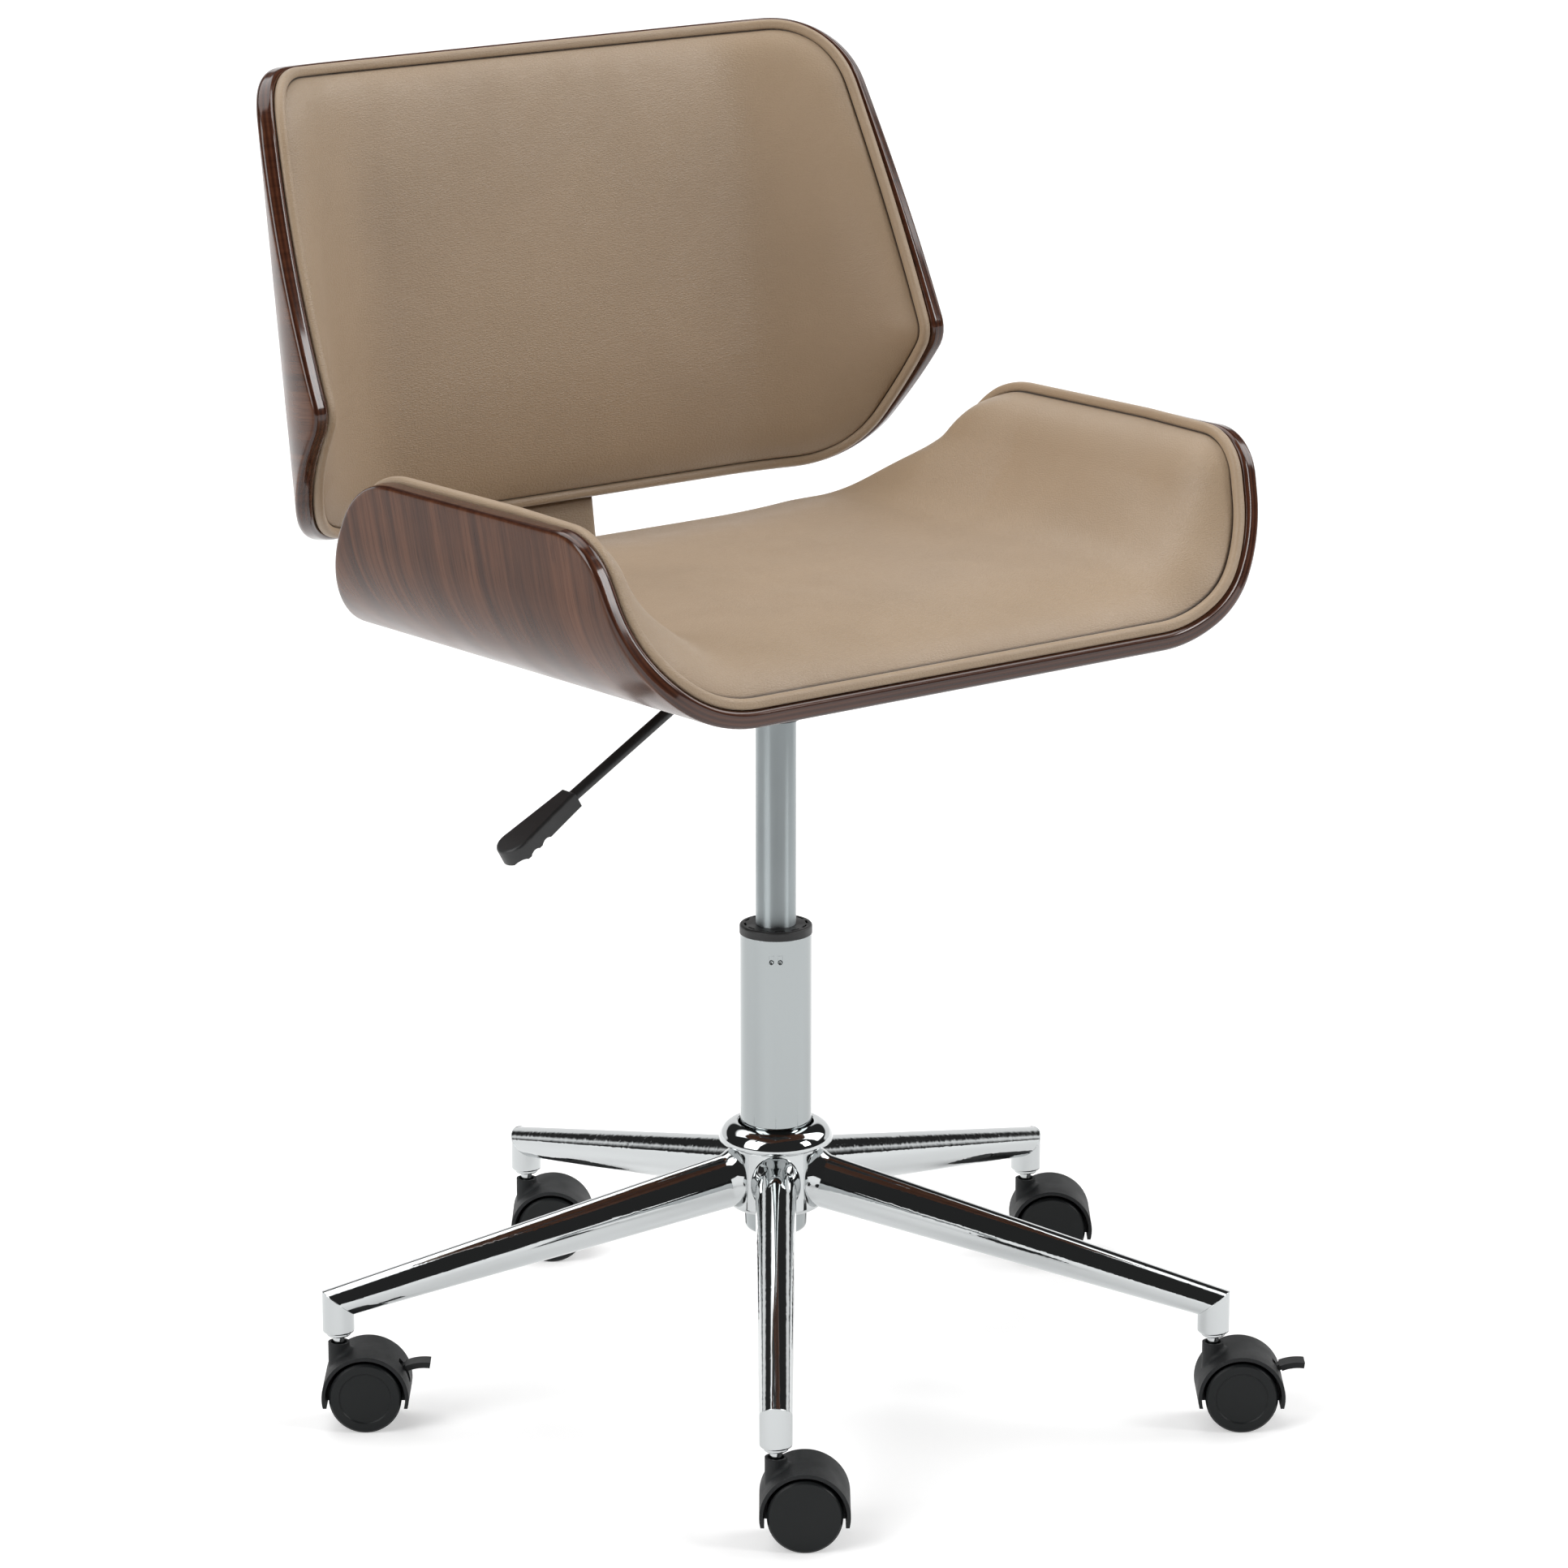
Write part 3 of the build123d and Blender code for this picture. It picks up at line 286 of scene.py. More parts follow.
class Sheet:
    """A bent sheet: a place and slope for its middle, and runs of (length, radius) out to each side."""

    def __init__(self, origin, along, runs, corners, rounds, marks):
        self.origin = np.array(origin)
        self.along = np.array(along)
        self.across = np.array((1.0, 0.0, 0.0))
        self.normal = np.cross(self.across, self.along)
        self.runs = runs
        self.lengths, self.points, self.outward, self.marks = self.outline(corners, rounds, marks)

    @staticmethod
    def outline(corners, rounds, marks):
        """Closed outline of the blank: straight sides between mirrored corners, each an arc of its radius.
        Gives running lengths, points, outward normals and the lengths at four marked arc middles."""
        right = np.array(corners)
        left = right[::-1] * (-1.0, 1.0)
        corner = np.concatenate((right, left))
        radius = np.concatenate((rounds, rounds[::-1]))
        steps = np.linspace(0.0, 1.0, corner_steps)
        points, outward, middles = [], [], []
        for index, here in enumerate(corner):
            back = corner[index - 1] - here
            ahead = corner[(index + 1) % len(corner)] - here
            back = back / np.hypot(*back)
            ahead = ahead / np.hypot(*ahead)
            half = np.arccos(back @ ahead) / 2
            bisector = (back + ahead) / np.hypot(*(back + ahead))
            centre = here + bisector * radius[index] / np.sin(half)
            middle = np.arctan2(*(-bisector)[::-1])
            angles = middle + (steps - 0.5) * (pi - 2 * half)
            normals = np.stack((np.cos(angles), np.sin(angles)), axis=1)
            points.append(centre + radius[index] * normals)
            outward.append(normals)
            middles.append(len(steps) * index + len(steps) // 2)
        points = np.concatenate(points + [points[0][:1]])
        outward = np.concatenate(outward + [outward[0][:1]])
        lengths = np.concatenate(([0.0], np.cumsum(np.hypot(*np.diff(points, axis=0).T))))
        first, last = marks
        count = len(corner)
        marked = [middles[place] for place in (count - 1 - first, first, last, count - 1 - last)]
        return lengths, points, outward, lengths[marked]

    def ring(self, across_count, along_count, inset, ride=0.0):
        """The outline drawn in by an inset, as the edge of a grid: front, right, rear, left in order.
        Along the ends, behind the front corners, it is let out again by a ride, eased in over a run."""
        start, front, right, rear = self.marks
        total = self.lengths[-1]
        spans = ((start - total, front, across_count), (front, right, along_count),
                 (right, rear, across_count), (rear, start, along_count))
        walk = np.concatenate([np.linspace(a, b, n, endpoint=False) for a, b, n in spans]) % total
        place = np.stack([np.interp(walk, self.lengths, self.points[:, k]) for k in (0, 1)], axis=1)
        normal = np.stack([np.interp(walk, self.lengths, self.outward[:, k]) for k in (0, 1)], axis=1)
        half = self.points[:, 0].max()
        front_most = self.points[:, 1].min()
        ends = np.clip((np.abs(place[:, :1]) / half - ride_from) / ride_ease, 0.0, 1.0)
        behind = np.clip((place[:, 1:] - front_most - ride_behind) / ride_run, 0.0, 1.0)
        return place - (inset - ride * ends * behind) * normal

    def grid(self, across_count, along_count, inset, ride=0.0):
        """A patch over the blank: each point blends the four sides of the ring, less the corners' share."""
        ring = self.ring(across_count, along_count, inset, ride)
        a, b = across_count, along_count
        front = ring[:a + 1]
        right = ring[a:a + b + 1]
        rear = ring[a + b:2 * a + b + 1][::-1]
        left = np.concatenate((ring[2 * a + b:], ring[:1]))[::-1]
        u = np.linspace(0.0, 1.0, a + 1)[:, None, None]
        v = np.linspace(0.0, 1.0, b + 1)[None, :, None]
        sides = (1 - v) * front[:, None] + v * rear[:, None] + (1 - u) * left[None] + u * right[None]
        corners = ((1 - u) * (1 - v) * front[0] + u * (1 - v) * front[-1]
                   + (1 - u) * v * rear[0] + u * v * rear[-1])
        return (sides - corners).reshape(-1, 2)

    def bent(self, flat, off):
        """Bends flat places: walk out over straight and round runs, then stand off the inner face."""
        across, along = flat[..., 0], flat[..., 1]
        left = np.abs(across)
        sideways = np.zeros_like(left)
        rise = np.zeros_like(left)
        turn = np.zeros_like(left)
        for length, radius in self.runs:
            step = np.clip(left, 0.0, length)
            if radius:
                end = turn + step / radius
                sideways = sideways + radius * (np.sin(end) - np.sin(turn))
                rise = rise + radius * (np.cos(turn) - np.cos(end))
                turn = end
            else:
                sideways = sideways + step * np.cos(turn)
                rise = rise + step * np.sin(turn)
            left = left - step
        x = np.sign(across) * (sideways - off * np.sin(turn))
        n = rise + off * np.cos(turn)
        return (self.origin + x[..., None] * self.across + along[..., None] * self.along
                + n[..., None] * self.normal)


seat_tilt = radians(0.7)
seat_half = 0.349
seat_sheet = Sheet(
    origin=(0.0, 0.0355, 0.547),
    along=(0.0, cos(seat_tilt), -sin(seat_tilt)),
    runs=[(0.172, None), (0.095 * radians(80.7), 0.095), (1.0, None)],
    corners=[(0.236, -0.243), (seat_half, -0.205), (seat_half, 0.053), (0.176, 0.180)],
    rounds=[0.120, 0.043, 0.080, 0.070],
    marks=(1, 2),
)
back_recline = radians(8.1)
back_half = 0.326
back_sheet = Sheet(
    origin=(0.0, 0.2471, 0.5872),
    along=(0.0, sin(back_recline), cos(back_recline)),
    runs=[(0.143, None), (0.077, 0.130), (1.0, 0.104)],
    corners=[(0.244, 0.0), (back_half, 0.0905), (0.259, 0.327)],
    rounds=[0.099, 0.024, 0.070],
    marks=(0, 2),
)


def grid_faces(across_count, along_count, first, flip):
    """Quads of a grid of points whose numbers run along it fastest, starting at a given number."""
    number = first + np.arange((across_count + 1) * (along_count + 1)).reshape(across_count + 1, -1)
    quads = np.stack((number[:-1, :-1], number[1:, :-1], number[1:, 1:], number[:-1, 1:]), axis=-1)
    quads = quads.reshape(-1, 4)
    return quads[:, ::-1] if flip else quads


def grid_edge(across_count, along_count, first):
    """Numbers of the points round the edge of such a grid, in the order of a ring."""
    number = first + np.arange((across_count + 1) * (along_count + 1)).reshape(across_count + 1, -1)
    return np.concatenate((number[:-1, 0], number[-1, :-1], number[:0:-1, -1], number[0, :0:-1]))


def strip_faces(lower, upper):
    """Quads of a closed strip between two rings of point numbers."""
    return np.stack((lower, np.roll(lower, -1), np.roll(upper, -1), upper), axis=-1)


def piece(name, points, faces, material, body):
    """A smooth mesh object at the origin that rides on a body and takes a slot's finish."""
    mesh = bpy.data.meshes.new(name)
    mesh.from_pydata(points, [], faces)
    mesh.polygons.foreach_set("use_smooth", np.ones(len(mesh.polygons), dtype=bool))
    mesh.materials.append(material)
    mesh.validate()
    made = bpy.data.objects.new(name, mesh)
    bpy.context.collection.objects.link(made)
    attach(made, body)
    return made


def mark(made, name, values):
    """Stores one number per point on a mesh, for its material to read."""
    made.data.attributes.new(name, "FLOAT", "POINT").data.foreach_set("value", values.astype(np.float32))


def unrolled(made, flat):
    """A UV map that unrolls the sheet: U across the grain and V along it, in metres."""
    layer = made.data.uv_layers.new(name="sheet")
    corner = np.empty(len(made.data.loops), dtype=np.int32)
    made.data.loops.foreach_get("vertex_index", corner)
    layer.data.foreach_set("uv", flat[corner][:, ::-1].astype(np.float32).ravel())


def shell(name, sheet, material, node):
    """Bent ply: an inner and an outer face as grids, joined by a rim of two eased edges and a side."""
    a, b = blank_grid_across, blank_grid_along
    face = sheet.grid(a, b, ply_ease)
    turn = np.linspace(0.0, pi / 2, rim_arc_steps + 1)[1:]
    side = np.linspace(ply_ease, ply_thickness - ply_ease, rim_side_steps + 1)[1:]
    inset = np.concatenate((ply_ease * (1 - np.sin(turn)), 0 * side, ply_ease * (1 - np.cos(turn))[:-1]))
    depth = np.concatenate((ply_ease * (1 - np.cos(turn)), side,
                            ply_thickness - ply_ease * (1 - np.sin(turn))[:-1]))
    rims = np.stack([sheet.ring(a, b, step) for step in inset])
    flat = np.concatenate((face, rims.reshape(-1, 2), face))
    sunk = np.concatenate((np.zeros(len(face)), np.repeat(depth, rims.shape[1]),
                           np.full(len(face), ply_thickness)))
    faces = [grid_faces(a, b, 0, flip=False)]
    rings = [grid_edge(a, b, 0)]
    rings += [len(face) + rims.shape[1] * row + np.arange(rims.shape[1]) for row in range(len(inset))]
    second = len(face) + rims.shape[0] * rims.shape[1]
    rings.append(grid_edge(a, b, second))
    faces += [strip_faces(lower, upper) for upper, lower in zip(rings, rings[1:])]
    faces.append(grid_faces(a, b, second, flip=True))
    made = piece(name, sheet.bent(flat, -sunk), np.concatenate(faces), material, "seat")
    unrolled(made, flat)
    mark(made, "depth", sunk / ply_thickness)
    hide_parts(node)


def walnut_material():
    """Walnut veneer: broad figure, streaks and pores drawn out along V, and plies on the cut edge."""
    material, tree, shader = finish("walnut_ply", veneer_colour, veneer_roughness, veneer_clouds)
    shader.inputs["Specular IOR Level"].default_value = veneer_gloss
    shader.inputs["Coat IOR"].default_value = lacquer_ior
    shader.inputs["Coat Roughness"].default_value = lacquer_roughness
    sheet_map = tree.nodes.new("ShaderNodeUVMap")
    sheet_map.uv_map = "sheet"

    def drawn_noise(across, along, detail, distortion):
        stretch = tree.nodes.new("ShaderNodeMapping")
        stretch.inputs["Scale"].default_value = (across, along, 1.0)
        noise = tree.nodes.new("ShaderNodeTexNoise")
        noise.inputs["Scale"].default_value = 1.0
        noise.inputs["Detail"].default_value = detail
        noise.inputs["Distortion"].default_value = distortion
        tree.links.new(sheet_map.outputs["UV"], stretch.inputs["Vector"])
        tree.links.new(stretch.outputs["Vector"], noise.inputs["Vector"])
        return noise.outputs["Fac"]

    def ramp(value, stops):
        made = tree.nodes.new("ShaderNodeValToRGB")
        for place, colour in stops[1:-1]:
            made.color_ramp.elements.new(place)
        for element, (place, colour) in zip(made.color_ramp.elements, stops):
            element.position = place
            element.color = (*colour, 1.0)
        tree.links.new(value, made.inputs["Fac"])
        return made.outputs["Color"]

    def mixed(kind, amount, first, second):
        made = tree.nodes.new("ShaderNodeMix")
        made.data_type = "RGBA"
        made.blend_type = kind
        if isinstance(amount, float):
            made.inputs["Factor"].default_value = amount
        else:
            tree.links.new(amount, made.inputs["Factor"])
        tree.links.new(first, made.inputs["A"])
        tree.links.new(second, made.inputs["B"])
        return made.outputs["Result"]

    figure = ramp(drawn_noise(*figure_drawn), figure_stops)
    streaks = ramp(drawn_noise(*streak_drawn), streak_stops)
    pores = ramp(drawn_noise(*pore_drawn), pore_stops)
    veneer = mixed("MULTIPLY", pore_share, mixed("MULTIPLY", streak_share, figure, streaks), pores)

    depth = tree.nodes.new("ShaderNodeAttribute")
    depth.attribute_name = "depth"
    plies = tree.nodes.new("ShaderNodeMath")
    plies.operation = "PINGPONG"
    plies.inputs[1].default_value = 1.0 / ply_count
    tree.links.new(depth.outputs["Fac"], plies.inputs[0])
    level = tree.nodes.new("ShaderNodeMapRange")
    level.inputs["From Max"].default_value = 1.0 / ply_count
    tree.links.new(plies.outputs["Value"], level.inputs["Value"])
    edge = mixed("MULTIPLY", ply_streak_share, ramp(level.outputs["Result"], ply_stops), streaks)
    rim = tree.nodes.new("ShaderNodeMapRange")
    rim.inputs["From Min"].default_value = rim_span[0]
    rim.inputs["From Max"].default_value = rim_span[1]
    inward = tree.nodes.new("ShaderNodeMath")
    inward.operation = "PINGPONG"
    inward.inputs[1].default_value = 0.5
    tree.links.new(depth.outputs["Fac"], inward.inputs[0])
    tree.links.new(inward.outputs["Value"], rim.inputs["Value"])
    polish = tree.nodes.new("ShaderNodeMath")
    polish.operation = "MULTIPLY"
    polish.inputs[1].default_value = rim_polish
    tree.links.new(rim.outputs["Result"], polish.inputs[0])
    tree.links.new(polish.outputs["Value"], shader.inputs["Coat Weight"])
    tree.links.new(mixed("MIX", rim.outputs["Result"], veneer, edge), shader.inputs["Base Color"])
    return material


walnut = walnut_material()
shell("seat_ply", seat_sheet, walnut, "seat_shell")
shell("back_ply", back_sheet, walnut, "back_shell")

# Seat and back pads: foam under a stretched leather panel, sewn to a rolled leather welt that stands
# on the ply just inside its edge. The panel is blown out by a short cloth simulation from its cut shape.
leather_colour = (0.365, 0.264, 0.172)
leather_roughness = (0.4, 0.5)
leather_clouds = 35.0
leather_gloss = 0.5
leather_sheen = (0.18, 0.4)
pebble_scale = (300.0, 680.0, 680.0)
crease_reach = 0.28
crease_strength = 0.35
crease_depth = 0.0004
tone_scale = 7.0
tone_span = (0.95, 1.04)
# Painted shade: from its threshold and over its widths, the seam colour darkens the crease where panel meets
# welt, and the pad's hidden foot.
seam_shade_colour = (0.05, 0.033, 0.022)
seam_shade_from = 0.6
seam_inset = 0.0078
seam_off = 0.0062
panel_seam_shade_width = 0.0012
welt_seam_shade_width = 0.0009
welt_centre = (0.0046, 0.0039)
welt_half = (0.0036, 0.0037)
welt_power = 2.6
welt_steps = 24
pad_foot = 0.0004
pad_cell = 0.0052
search_parts = 12
crown_drop = 0.24
seat_crown = 0.031
seat_bridge = (0.265, 0.019)
seat_edges = [(-0.2, 0.013), (0.0, 0.01), (0.05, 0.0045)]
seat_ride = 0.003
seat_swell = 0.005
back_crown = 0.019
back_bridge = (0.24, 0.003)
back_edges = [(0.0, 0.0115)]
back_swell = 0.004
bridge_spread = 0.075
fuller_run = 0.12
least_full = 0.4
cloth_steps = 20
cloth_pressure = 4.0
cloth_stretch = 20.0
cloth_bend = 8.0
settle_rounds = 24


def leather_material():
    """Soft leather: creases round drawn-out pebbles as bump, faint clouds in the tone, and painted shade that
    darkens the crease at the seam.
    """
    material, tree, shader = finish("taupe_leather", leather_colour, leather_roughness, leather_clouds)
    shader.inputs["Specular IOR Level"].default_value = leather_gloss
    shader.inputs["Sheen Weight"].default_value = leather_sheen[0]
    shader.inputs["Sheen Roughness"].default_value = leather_sheen[1]
    place = tree.nodes.new("ShaderNodeTexCoord")
    pebble = tree.nodes.new("ShaderNodeTexVoronoi")
    pebble.feature = "DISTANCE_TO_EDGE"
    pebble.inputs["Scale"].default_value = 1.0
    drawn = tree.nodes.new("ShaderNodeMapping")
    drawn.inputs["Scale"].default_value = pebble_scale
    crease = tree.nodes.new("ShaderNodeMapRange")
    crease.interpolation_type = "SMOOTHSTEP"
    crease.inputs["From Max"].default_value = crease_reach
    tree.links.new(place.outputs["Object"], drawn.inputs["Vector"])
    tree.links.new(drawn.outputs["Vector"], pebble.inputs["Vector"])
    tree.links.new(pebble.outputs["Distance"], crease.inputs["Value"])
    bump = tree.nodes.new("ShaderNodeBump")
    bump.inputs["Strength"].default_value = crease_strength
    bump.inputs["Distance"].default_value = crease_depth
    tree.links.new(crease.outputs["Result"], bump.inputs["Height"])
    tree.links.new(bump.outputs["Normal"], shader.inputs["Normal"])

    tone = tree.nodes.new("ShaderNodeGroup")
    tone.node_tree = mottle
    tone.inputs["Scale"].default_value = tone_scale
    tone.inputs["Low"].default_value = 0.0
    tone.inputs["High"].default_value = 1.0
    shades = tree.nodes.new("ShaderNodeMix")
    shades.data_type = "RGBA"
    for side, share in zip("AB", tone_span):
        shades.inputs[side].default_value = (*(share * np.array(leather_colour)), 1.0)
    tree.links.new(tone.outputs["Value"], shades.inputs["Factor"])
    # Painted shade: the seam mark blends the leather toward a dark colour where shade falls in the crease at
    # the seam.
    seam = tree.nodes.new("ShaderNodeAttribute")
    seam.attribute_name = "seam"
    seam_shading = tree.nodes.new("ShaderNodeMix")
    seam_shading.data_type = "RGBA"
    seam_shading.inputs["B"].default_value = (*seam_shade_colour, 1.0)
    thin = tree.nodes.new("ShaderNodeMapRange")
    thin.interpolation_type = "SMOOTHSTEP"
    thin.inputs["From Min"].default_value = seam_shade_from
    tree.links.new(seam.outputs["Fac"], thin.inputs["Value"])
    tree.links.new(thin.outputs["Result"], seam_shading.inputs["Factor"])
    tree.links.new(shades.outputs["Result"], seam_shading.inputs["A"])
    tree.links.new(seam_shading.outputs["Result"], shader.inputs["Base Color"])
    return material


leather = leather_material()


def blown_out(points, faces, held, cap):
    """Moves of a closed cut shape under pressure as cloth, with held points pinned and moves capped."""
    mesh = bpy.data.meshes.new("cut")
    mesh.from_pydata(points, [], faces)
    cut = bpy.data.objects.new("cut", mesh)
    bpy.context.collection.objects.link(cut)
    pins = cut.vertex_groups.new(name="pins")
    pins.add(np.flatnonzero(held).tolist(), 1.0, "REPLACE")
    cloth = cut.modifiers.new("cloth", "CLOTH").settings
    cloth.vertex_group_mass = "pins"
    cloth.use_pressure = True
    cloth.uniform_pressure_force = cloth_pressure
    cloth.effector_weights.gravity = 0.0
    cloth.tension_stiffness = cloth_stretch
    cloth.compression_stiffness = cloth_stretch
    cloth.bending_stiffness = cloth_bend
    scene = bpy.context.scene
    for step in range(1, cloth_steps + 1):
        scene.frame_set(step)
    settled = cut.evaluated_get(bpy.context.evaluated_depsgraph_get()).to_mesh()
    moved = np.empty(len(points) * 3)
    settled.vertices.foreach_get("co", moved)
    scene.frame_set(1)
    bpy.data.objects.remove(cut)
    bpy.data.meshes.remove(mesh)
    move = moved.reshape(-1, 3) - points
    size = np.linalg.norm(move, axis=1, keepdims=True)
    return move * (cap * np.tanh(size / cap) / np.maximum(size, 1e-9))


def pad(name, sheet, half, crown, bridge, edges, ride, cap, node):
    """Crowned panel: its height over the ply climbs from the seam by a decaying curve of the distance in,
    over a run set by where the nearest edge lies along the sheet. The crown it climbs to is lower toward
    the ends by the fourth power of the share out, and higher where it bridges a bend, by a bell curve
    that is fuller to the rear."""
    a = round(2 * half / pad_cell)
    b = round(np.ptp(sheet.points[:, 1]) / pad_cell)
    flat = sheet.grid(a, b, seam_inset, ride)
    edge = sheet.ring(4 * a, 4 * b, seam_inset, ride)
    parts = np.array_split(flat, search_parts)
    apart = (np.hypot(*(part[:, None] - edge[None]).transpose(2, 0, 1)) for part in parts)
    nearest = np.concatenate([gaps.argmin(axis=1) for gaps in apart])
    reach = np.hypot(*(flat - edge[nearest]).T)
    run = np.interp(edge[nearest, 1], *zip(*edges))
    out = np.abs(flat[:, 0])
    level = (crown - seam_off) * (1 - crown_drop * (out / half) ** 4)
    fuller = np.clip(0.5 + flat[:, 1] / fuller_run, least_full, 1.0)
    level = level + bridge[1] * fuller * np.exp(-((out - bridge[0]) / bridge_spread) ** 2)
    height = seam_off + level * (1 - np.exp(-reach / run))
    count = len(flat)
    rim = grid_edge(a, b, 0)
    top = sheet.bent(flat, height)
    points = np.concatenate((top, sheet.bent(flat, np.full(count, pad_foot))))
    faces = np.concatenate((grid_faces(a, b, 0, flip=False), grid_faces(a, b, count, flip=True),
                            strip_faces(grid_edge(a, b, count), rim)))
    held = np.zeros(2 * count, dtype=bool)
    held[count:] = True
    held[rim] = True
    moves = blown_out(points, faces, held, cap)[:count].reshape(a + 1, b + 1, 3)
    for step in range(settle_rounds):
        beside = moves[:-2, 1:-1] + moves[2:, 1:-1] + moves[1:-1, :-2] + moves[1:-1, 2:]
        moves[1:-1, 1:-1] = beside / 4
    points[:count] += moves.reshape(-1, 3)
    made = piece(name, points, faces, leather, "seat")
    smooth = made.modifiers.new("smooth", "SUBSURF")
    smooth.levels = smooth.render_levels = 1
    # Painted shade: the mark is strongest at the seam and full on the hidden foot, which the leather darkens
    # to the seam's shade colour.
    mark(made, "seam", np.concatenate((np.exp(-reach / panel_seam_shade_width), np.ones(count))))
    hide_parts(node)


def welt(name, sheet, half, ride):
    """Rolled welt: a squared oval carried round the outline of the blank, standing on the ply."""
    a = round(2 * half / pad_cell)
    b = round(np.ptp(sheet.points[:, 1]) / pad_cell)
    turn = np.linspace(0.0, 2 * pi, welt_steps, endpoint=False)
    swell = (np.abs(np.cos(turn)) ** welt_power + np.abs(np.sin(turn)) ** welt_power) ** (-1 / welt_power)
    inset = welt_centre[0] + welt_half[0] * swell * np.cos(turn)
    off = welt_centre[1] + welt_half[1] * swell * np.sin(turn)
    rings = np.stack([sheet.ring(a, b, step, ride) for step in inset])
    points = sheet.bent(rings, np.repeat(off[:, None], rings.shape[1], axis=1)).reshape(-1, 3)
    number = np.arange(len(points)).reshape(len(turn), -1)
    faces = np.concatenate([strip_faces(lower, upper)
                            for upper, lower in zip(number, np.roll(number, -1, axis=0))])
    made = piece(name, points, faces, leather, "seat")
    near = np.hypot(inset - seam_inset, off - seam_off)
    # Painted shade: the welt darkens where it turns into the crease at the seam.
    mark(made, "seam", np.repeat(np.exp(-near / welt_seam_shade_width), rings.shape[1]))
    smooth = made.modifiers.new("smooth", "SUBSURF")
    smooth.levels = smooth.render_levels = 1


pad("seat_cushion", seat_sheet, seat_half, crown=seat_crown, bridge=seat_bridge, edges=seat_edges,
    ride=seat_ride, cap=seat_swell, node="seat_pad")
welt("seat_welt", seat_sheet, seat_half, seat_ride)
pad("back_cushion", back_sheet, back_half, crown=back_crown, bridge=back_bridge, edges=back_edges,
    ride=0.0, cap=back_swell, node="back_pad")
welt("back_welt", back_sheet, back_half, 0.0)

# Bar sleeve: a tight leather sleeve slipped over the bend of the flat steel bar that carries the back.
# It starts behind the seat and ends just under the foot of the back.
bar_off = 0.015
bar_bend = 0.035
sleeve_start = 0.185
sleeve_end = -0.0006
sleeve_half = (0.0333, 0.0053)
sleeve_power = 7.0
sleeve_steps = 72
sleeve_end_share = 0.9
bend_steps = 17
run_steps = 9


def bar_line():
    """Spine of the bar in the middle plane as (y, z) with its normals: straight, an arc, straight."""
    first = (seat_sheet.origin + sleeve_start * seat_sheet.along - bar_off * seat_sheet.normal)[1:]
    last = (back_sheet.origin + sleeve_end * back_sheet.along - bar_off * back_sheet.normal)[1:]
    ahead = seat_sheet.along[1:]
    upward = back_sheet.along[1:]
    corner = first + ahead * np.linalg.solve(np.stack((ahead, -upward), axis=1), last - first)[0]
    bend = np.arccos(ahead @ upward)
    cut = bar_bend * tan(bend / 2)
    turned = np.linspace(0.0, bend, bend_steps)[:, None]
    inward = np.array((-ahead[1], ahead[0]))
    centre = corner - cut * ahead + bar_bend * inward
    arc = centre + bar_bend * (np.sin(turned) * ahead - np.cos(turned) * inward)
    runs = np.linspace(0.0, 1.0, run_steps)[:, None]
    start = first + (arc[0] - first) * runs
    end = arc[-1] + (last - arc[-1]) * runs
    spine = np.concatenate((start[:-1], arc, end[1:]))
    along = np.concatenate((np.repeat(turned[:1], len(start) - 1), turned[:, 0],
                            np.repeat(turned[-1:], len(end) - 1)))[:, None]
    return spine, np.cos(along) * inward - np.sin(along) * ahead


def sleeve(name):
    """A squared oval carried along the spine of the bar, closed by flat ends drawn in to a point."""
    spine, normal = bar_line()
    turn = np.linspace(0.0, 2 * pi, sleeve_steps, endpoint=False)
    powers = np.abs(np.cos(turn)) ** sleeve_power + np.abs(np.sin(turn)) ** sleeve_power
    swell = powers ** (-1 / sleeve_power)
    wide = sleeve_half[0] * swell * np.cos(turn)
    thick = sleeve_half[1] * swell * np.sin(turn)
    rows = np.concatenate((spine[:1], spine, spine[-1:]))
    lean = np.concatenate((normal[:1], normal, normal[-1:]))
    size = np.ones(len(rows))
    size[[0, -1]] = sleeve_end_share
    x = size[:, None] * wide
    yz = rows[:, None] + (size[:, None] * thick)[..., None] * lean[:, None]
    tube = np.concatenate((x[..., None], yz), axis=2).reshape(-1, 3)
    ends = np.stack((np.append(0.0, spine[0]), np.append(0.0, spine[-1])))
    number = np.arange(len(tube)).reshape(len(rows), -1)
    strips = [strip_faces(lower, upper) for upper, lower in zip(number, number[1:])]
    faces = np.concatenate(strips).tolist()
    faces += [(a, b, len(tube)) for a, b in zip(number[0], np.roll(number[0], -1))]
    faces += [(b, a, len(tube) + 1) for a, b in zip(number[-1], np.roll(number[-1], -1))]
    made = piece(name, np.concatenate((tube, ends)), faces, leather, "seat")
    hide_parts("bar_sleeve")


sleeve("bar_wrap")

# Studio: a white floor that keeps the shadow, in a dark room with soft boxes to the left and right of the
# camera, at the chair's left side and high behind it, and a white backdrop, which chrome and lacquer reflect.
floor_half = 40.0
floor_colour = (0.75, 0.75, 0.75)
floor_roughness = (0.9, 0.95)
floor_clouds = 3.0
floor_glow = 0.36
room_glow = 0.03
left_box = (-90.0, 32.0, 15.0, 24.0, 4.9)
right_box = (32.0, 29.0, 7.0, 12.0, 9.8)
side_box = (75.0, 40.0, 15.0, 20.0, 3.9)
high_box = (180.0, 66.0, 25.0, 25.0, 2.4)
backdrop = (142.0, 6.0, 62.0, 16.0, 1.0)
box_edge = 0.15
least_ahead = 0.001


def worked(tree, kind, operation, first, second=0.0):
    """A node that works on one or two values, each a socket or a constant."""
    made = tree.nodes.new(kind)
    made.operation = operation
    for socket, value in zip(made.inputs, (first, second)):
        if isinstance(value, bpy.types.NodeSocket):
            tree.links.new(value, socket)
        else:
            socket.default_value = value
    return made.outputs["Value"]


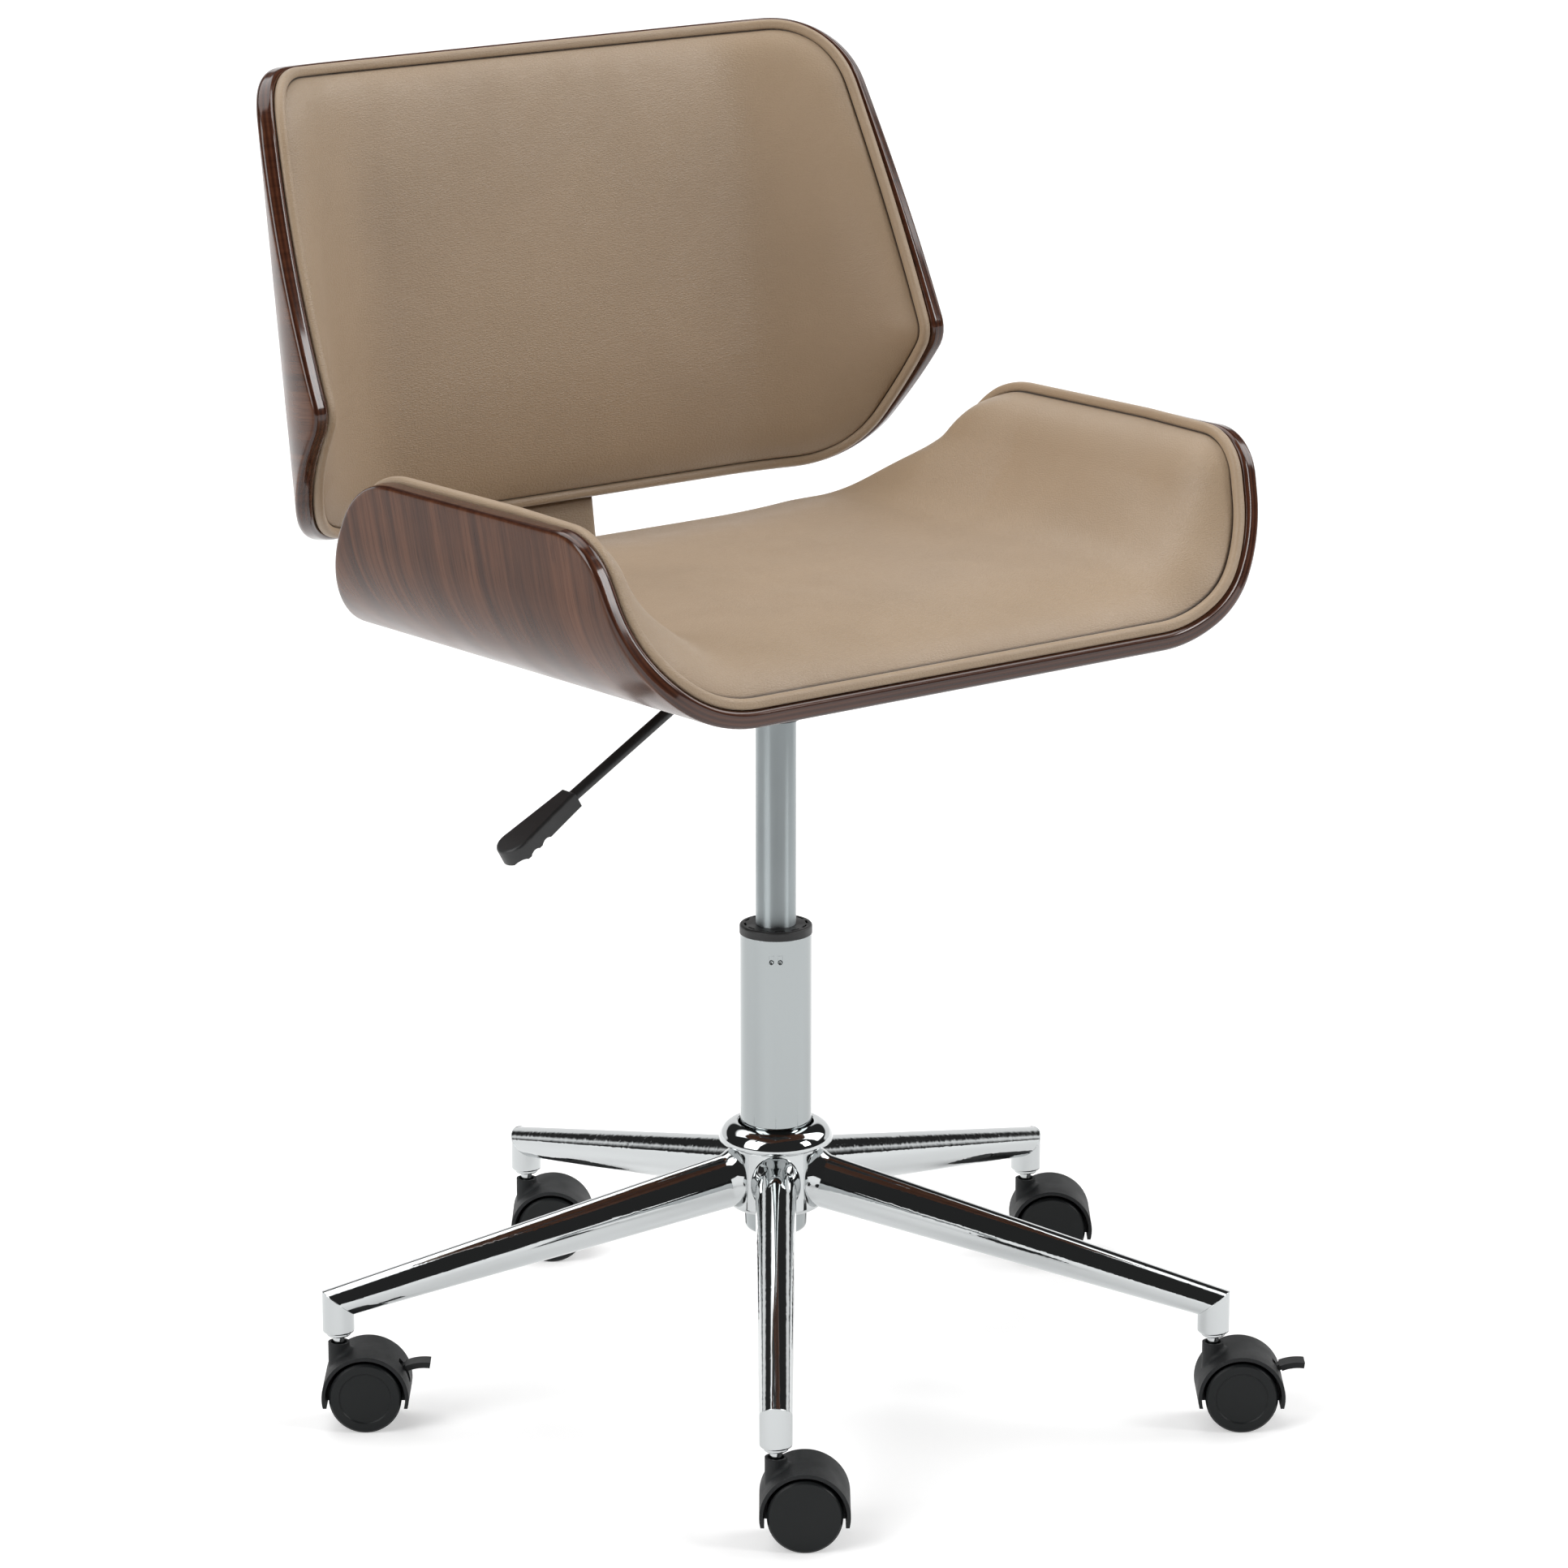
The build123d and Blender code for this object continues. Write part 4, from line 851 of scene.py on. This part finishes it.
floor_corners = [(x * floor_half, y * floor_half, 0.0) for x, y in ((-1, -1), (1, -1), (1, 1), (-1, 1))]
floor_mesh = bpy.data.meshes.new("floor")
floor_mesh.from_pydata(floor_corners, [], [(0, 1, 2, 3)])
floor = bpy.data.objects.new("floor", floor_mesh)
bpy.context.collection.objects.link(floor)
pale, floor_tree, floor_shader = finish("white_floor", floor_colour, floor_roughness, floor_clouds)
floor_shader.inputs["Specular IOR Level"].default_value = 0.0
floor_shader.inputs["Emission Strength"].default_value = floor_glow
rays = floor_tree.nodes.new("ShaderNodeLightPath").outputs
seen = worked(floor_tree, "ShaderNodeMath", "MAXIMUM", rays["Is Camera Ray"], rays["Is Glossy Ray"])
seen = worked(floor_tree, "ShaderNodeMath", "MAXIMUM", seen, rays["Is Transmission Ray"])
floor_tree.links.new(seen, floor_shader.inputs["Emission Color"])
floor_mesh.materials.append(pale)


def toward(azimuth, height):
    """Unit direction to a light, in degrees: azimuth 0 is the sitter's front, height is above the floor."""
    level = cos(radians(height))
    return sin(radians(azimuth)) * level, -cos(radians(azimuth)) * level, sin(radians(height))


world = bpy.data.worlds.new("studio")
world.use_nodes = True
bpy.context.scene.world = world
room = world.node_tree
sight = room.nodes.new("ShaderNodeTexCoord").outputs["Generated"]


def soft_box(azimuth, height, half_width, half_height, radiance):
    """A soft box in the room: its radiance within a half width and a half height, in degrees, as seen along
    its facing, fading to nothing over a soft edge."""
    facing = np.array(toward(azimuth, height))
    sideways = np.array((cos(radians(azimuth)), sin(radians(azimuth)), 0.0))
    ahead = worked(room, "ShaderNodeVectorMath", "DOT_PRODUCT", sight, facing)
    ahead = worked(room, "ShaderNodeMath", "MAXIMUM", ahead, least_ahead)
    value = radiance
    for axis, half in ((sideways, half_width), (np.cross(sideways, facing), half_height)):
        off = worked(room, "ShaderNodeVectorMath", "DOT_PRODUCT", sight, axis)
        share = worked(room, "ShaderNodeMath", "DIVIDE", off, ahead)
        edge = room.nodes.new("ShaderNodeMapRange")
        edge.interpolation_type = "SMOOTHSTEP"
        edge.inputs["From Min"].default_value = tan(radians(half)) * (1 + box_edge)
        edge.inputs["From Max"].default_value = tan(radians(half)) * (1 - box_edge)
        room.links.new(worked(room, "ShaderNodeMath", "ABSOLUTE", share), edge.inputs["Value"])
        value = worked(room, "ShaderNodeMath", "MULTIPLY", edge.outputs["Result"], value)
    return value


light = room_glow
for box in (left_box, right_box, side_box, high_box, backdrop):
    light = worked(room, "ShaderNodeMath", "ADD", soft_box(*box), light)
room.links.new(light, room.nodes["Background"].inputs["Color"])

# Camera: the view of the photograph, from the front on the sitter's right and a little above the seat,
# about four metres away, with its picture shifted sideways as far as the photograph is cropped.
camera_azimuth = -37.8
camera_distance = 3.990
camera_height = 1.482
camera_pitch = 14.77
photo_side = 1932
photo_focal = 7375
photo_middle = 956
film_width = 36.0

lens = bpy.data.cameras.new("photo_view")
lens.sensor_width = film_width
lens.lens = film_width * photo_focal / photo_side
lens.shift_x = (photo_side / 2 - photo_middle) / photo_side
camera = bpy.data.objects.new("photo_view", lens)
camera.location = (camera_distance * sin(radians(camera_azimuth)),
                   -camera_distance * cos(radians(camera_azimuth)), camera_height)
camera.rotation_euler = (radians(90 - camera_pitch), 0.0, radians(camera_azimuth))
bpy.context.collection.objects.link(camera)
bpy.context.scene.camera = camera
bpy.context.scene.view_settings.view_transform = "Standard"
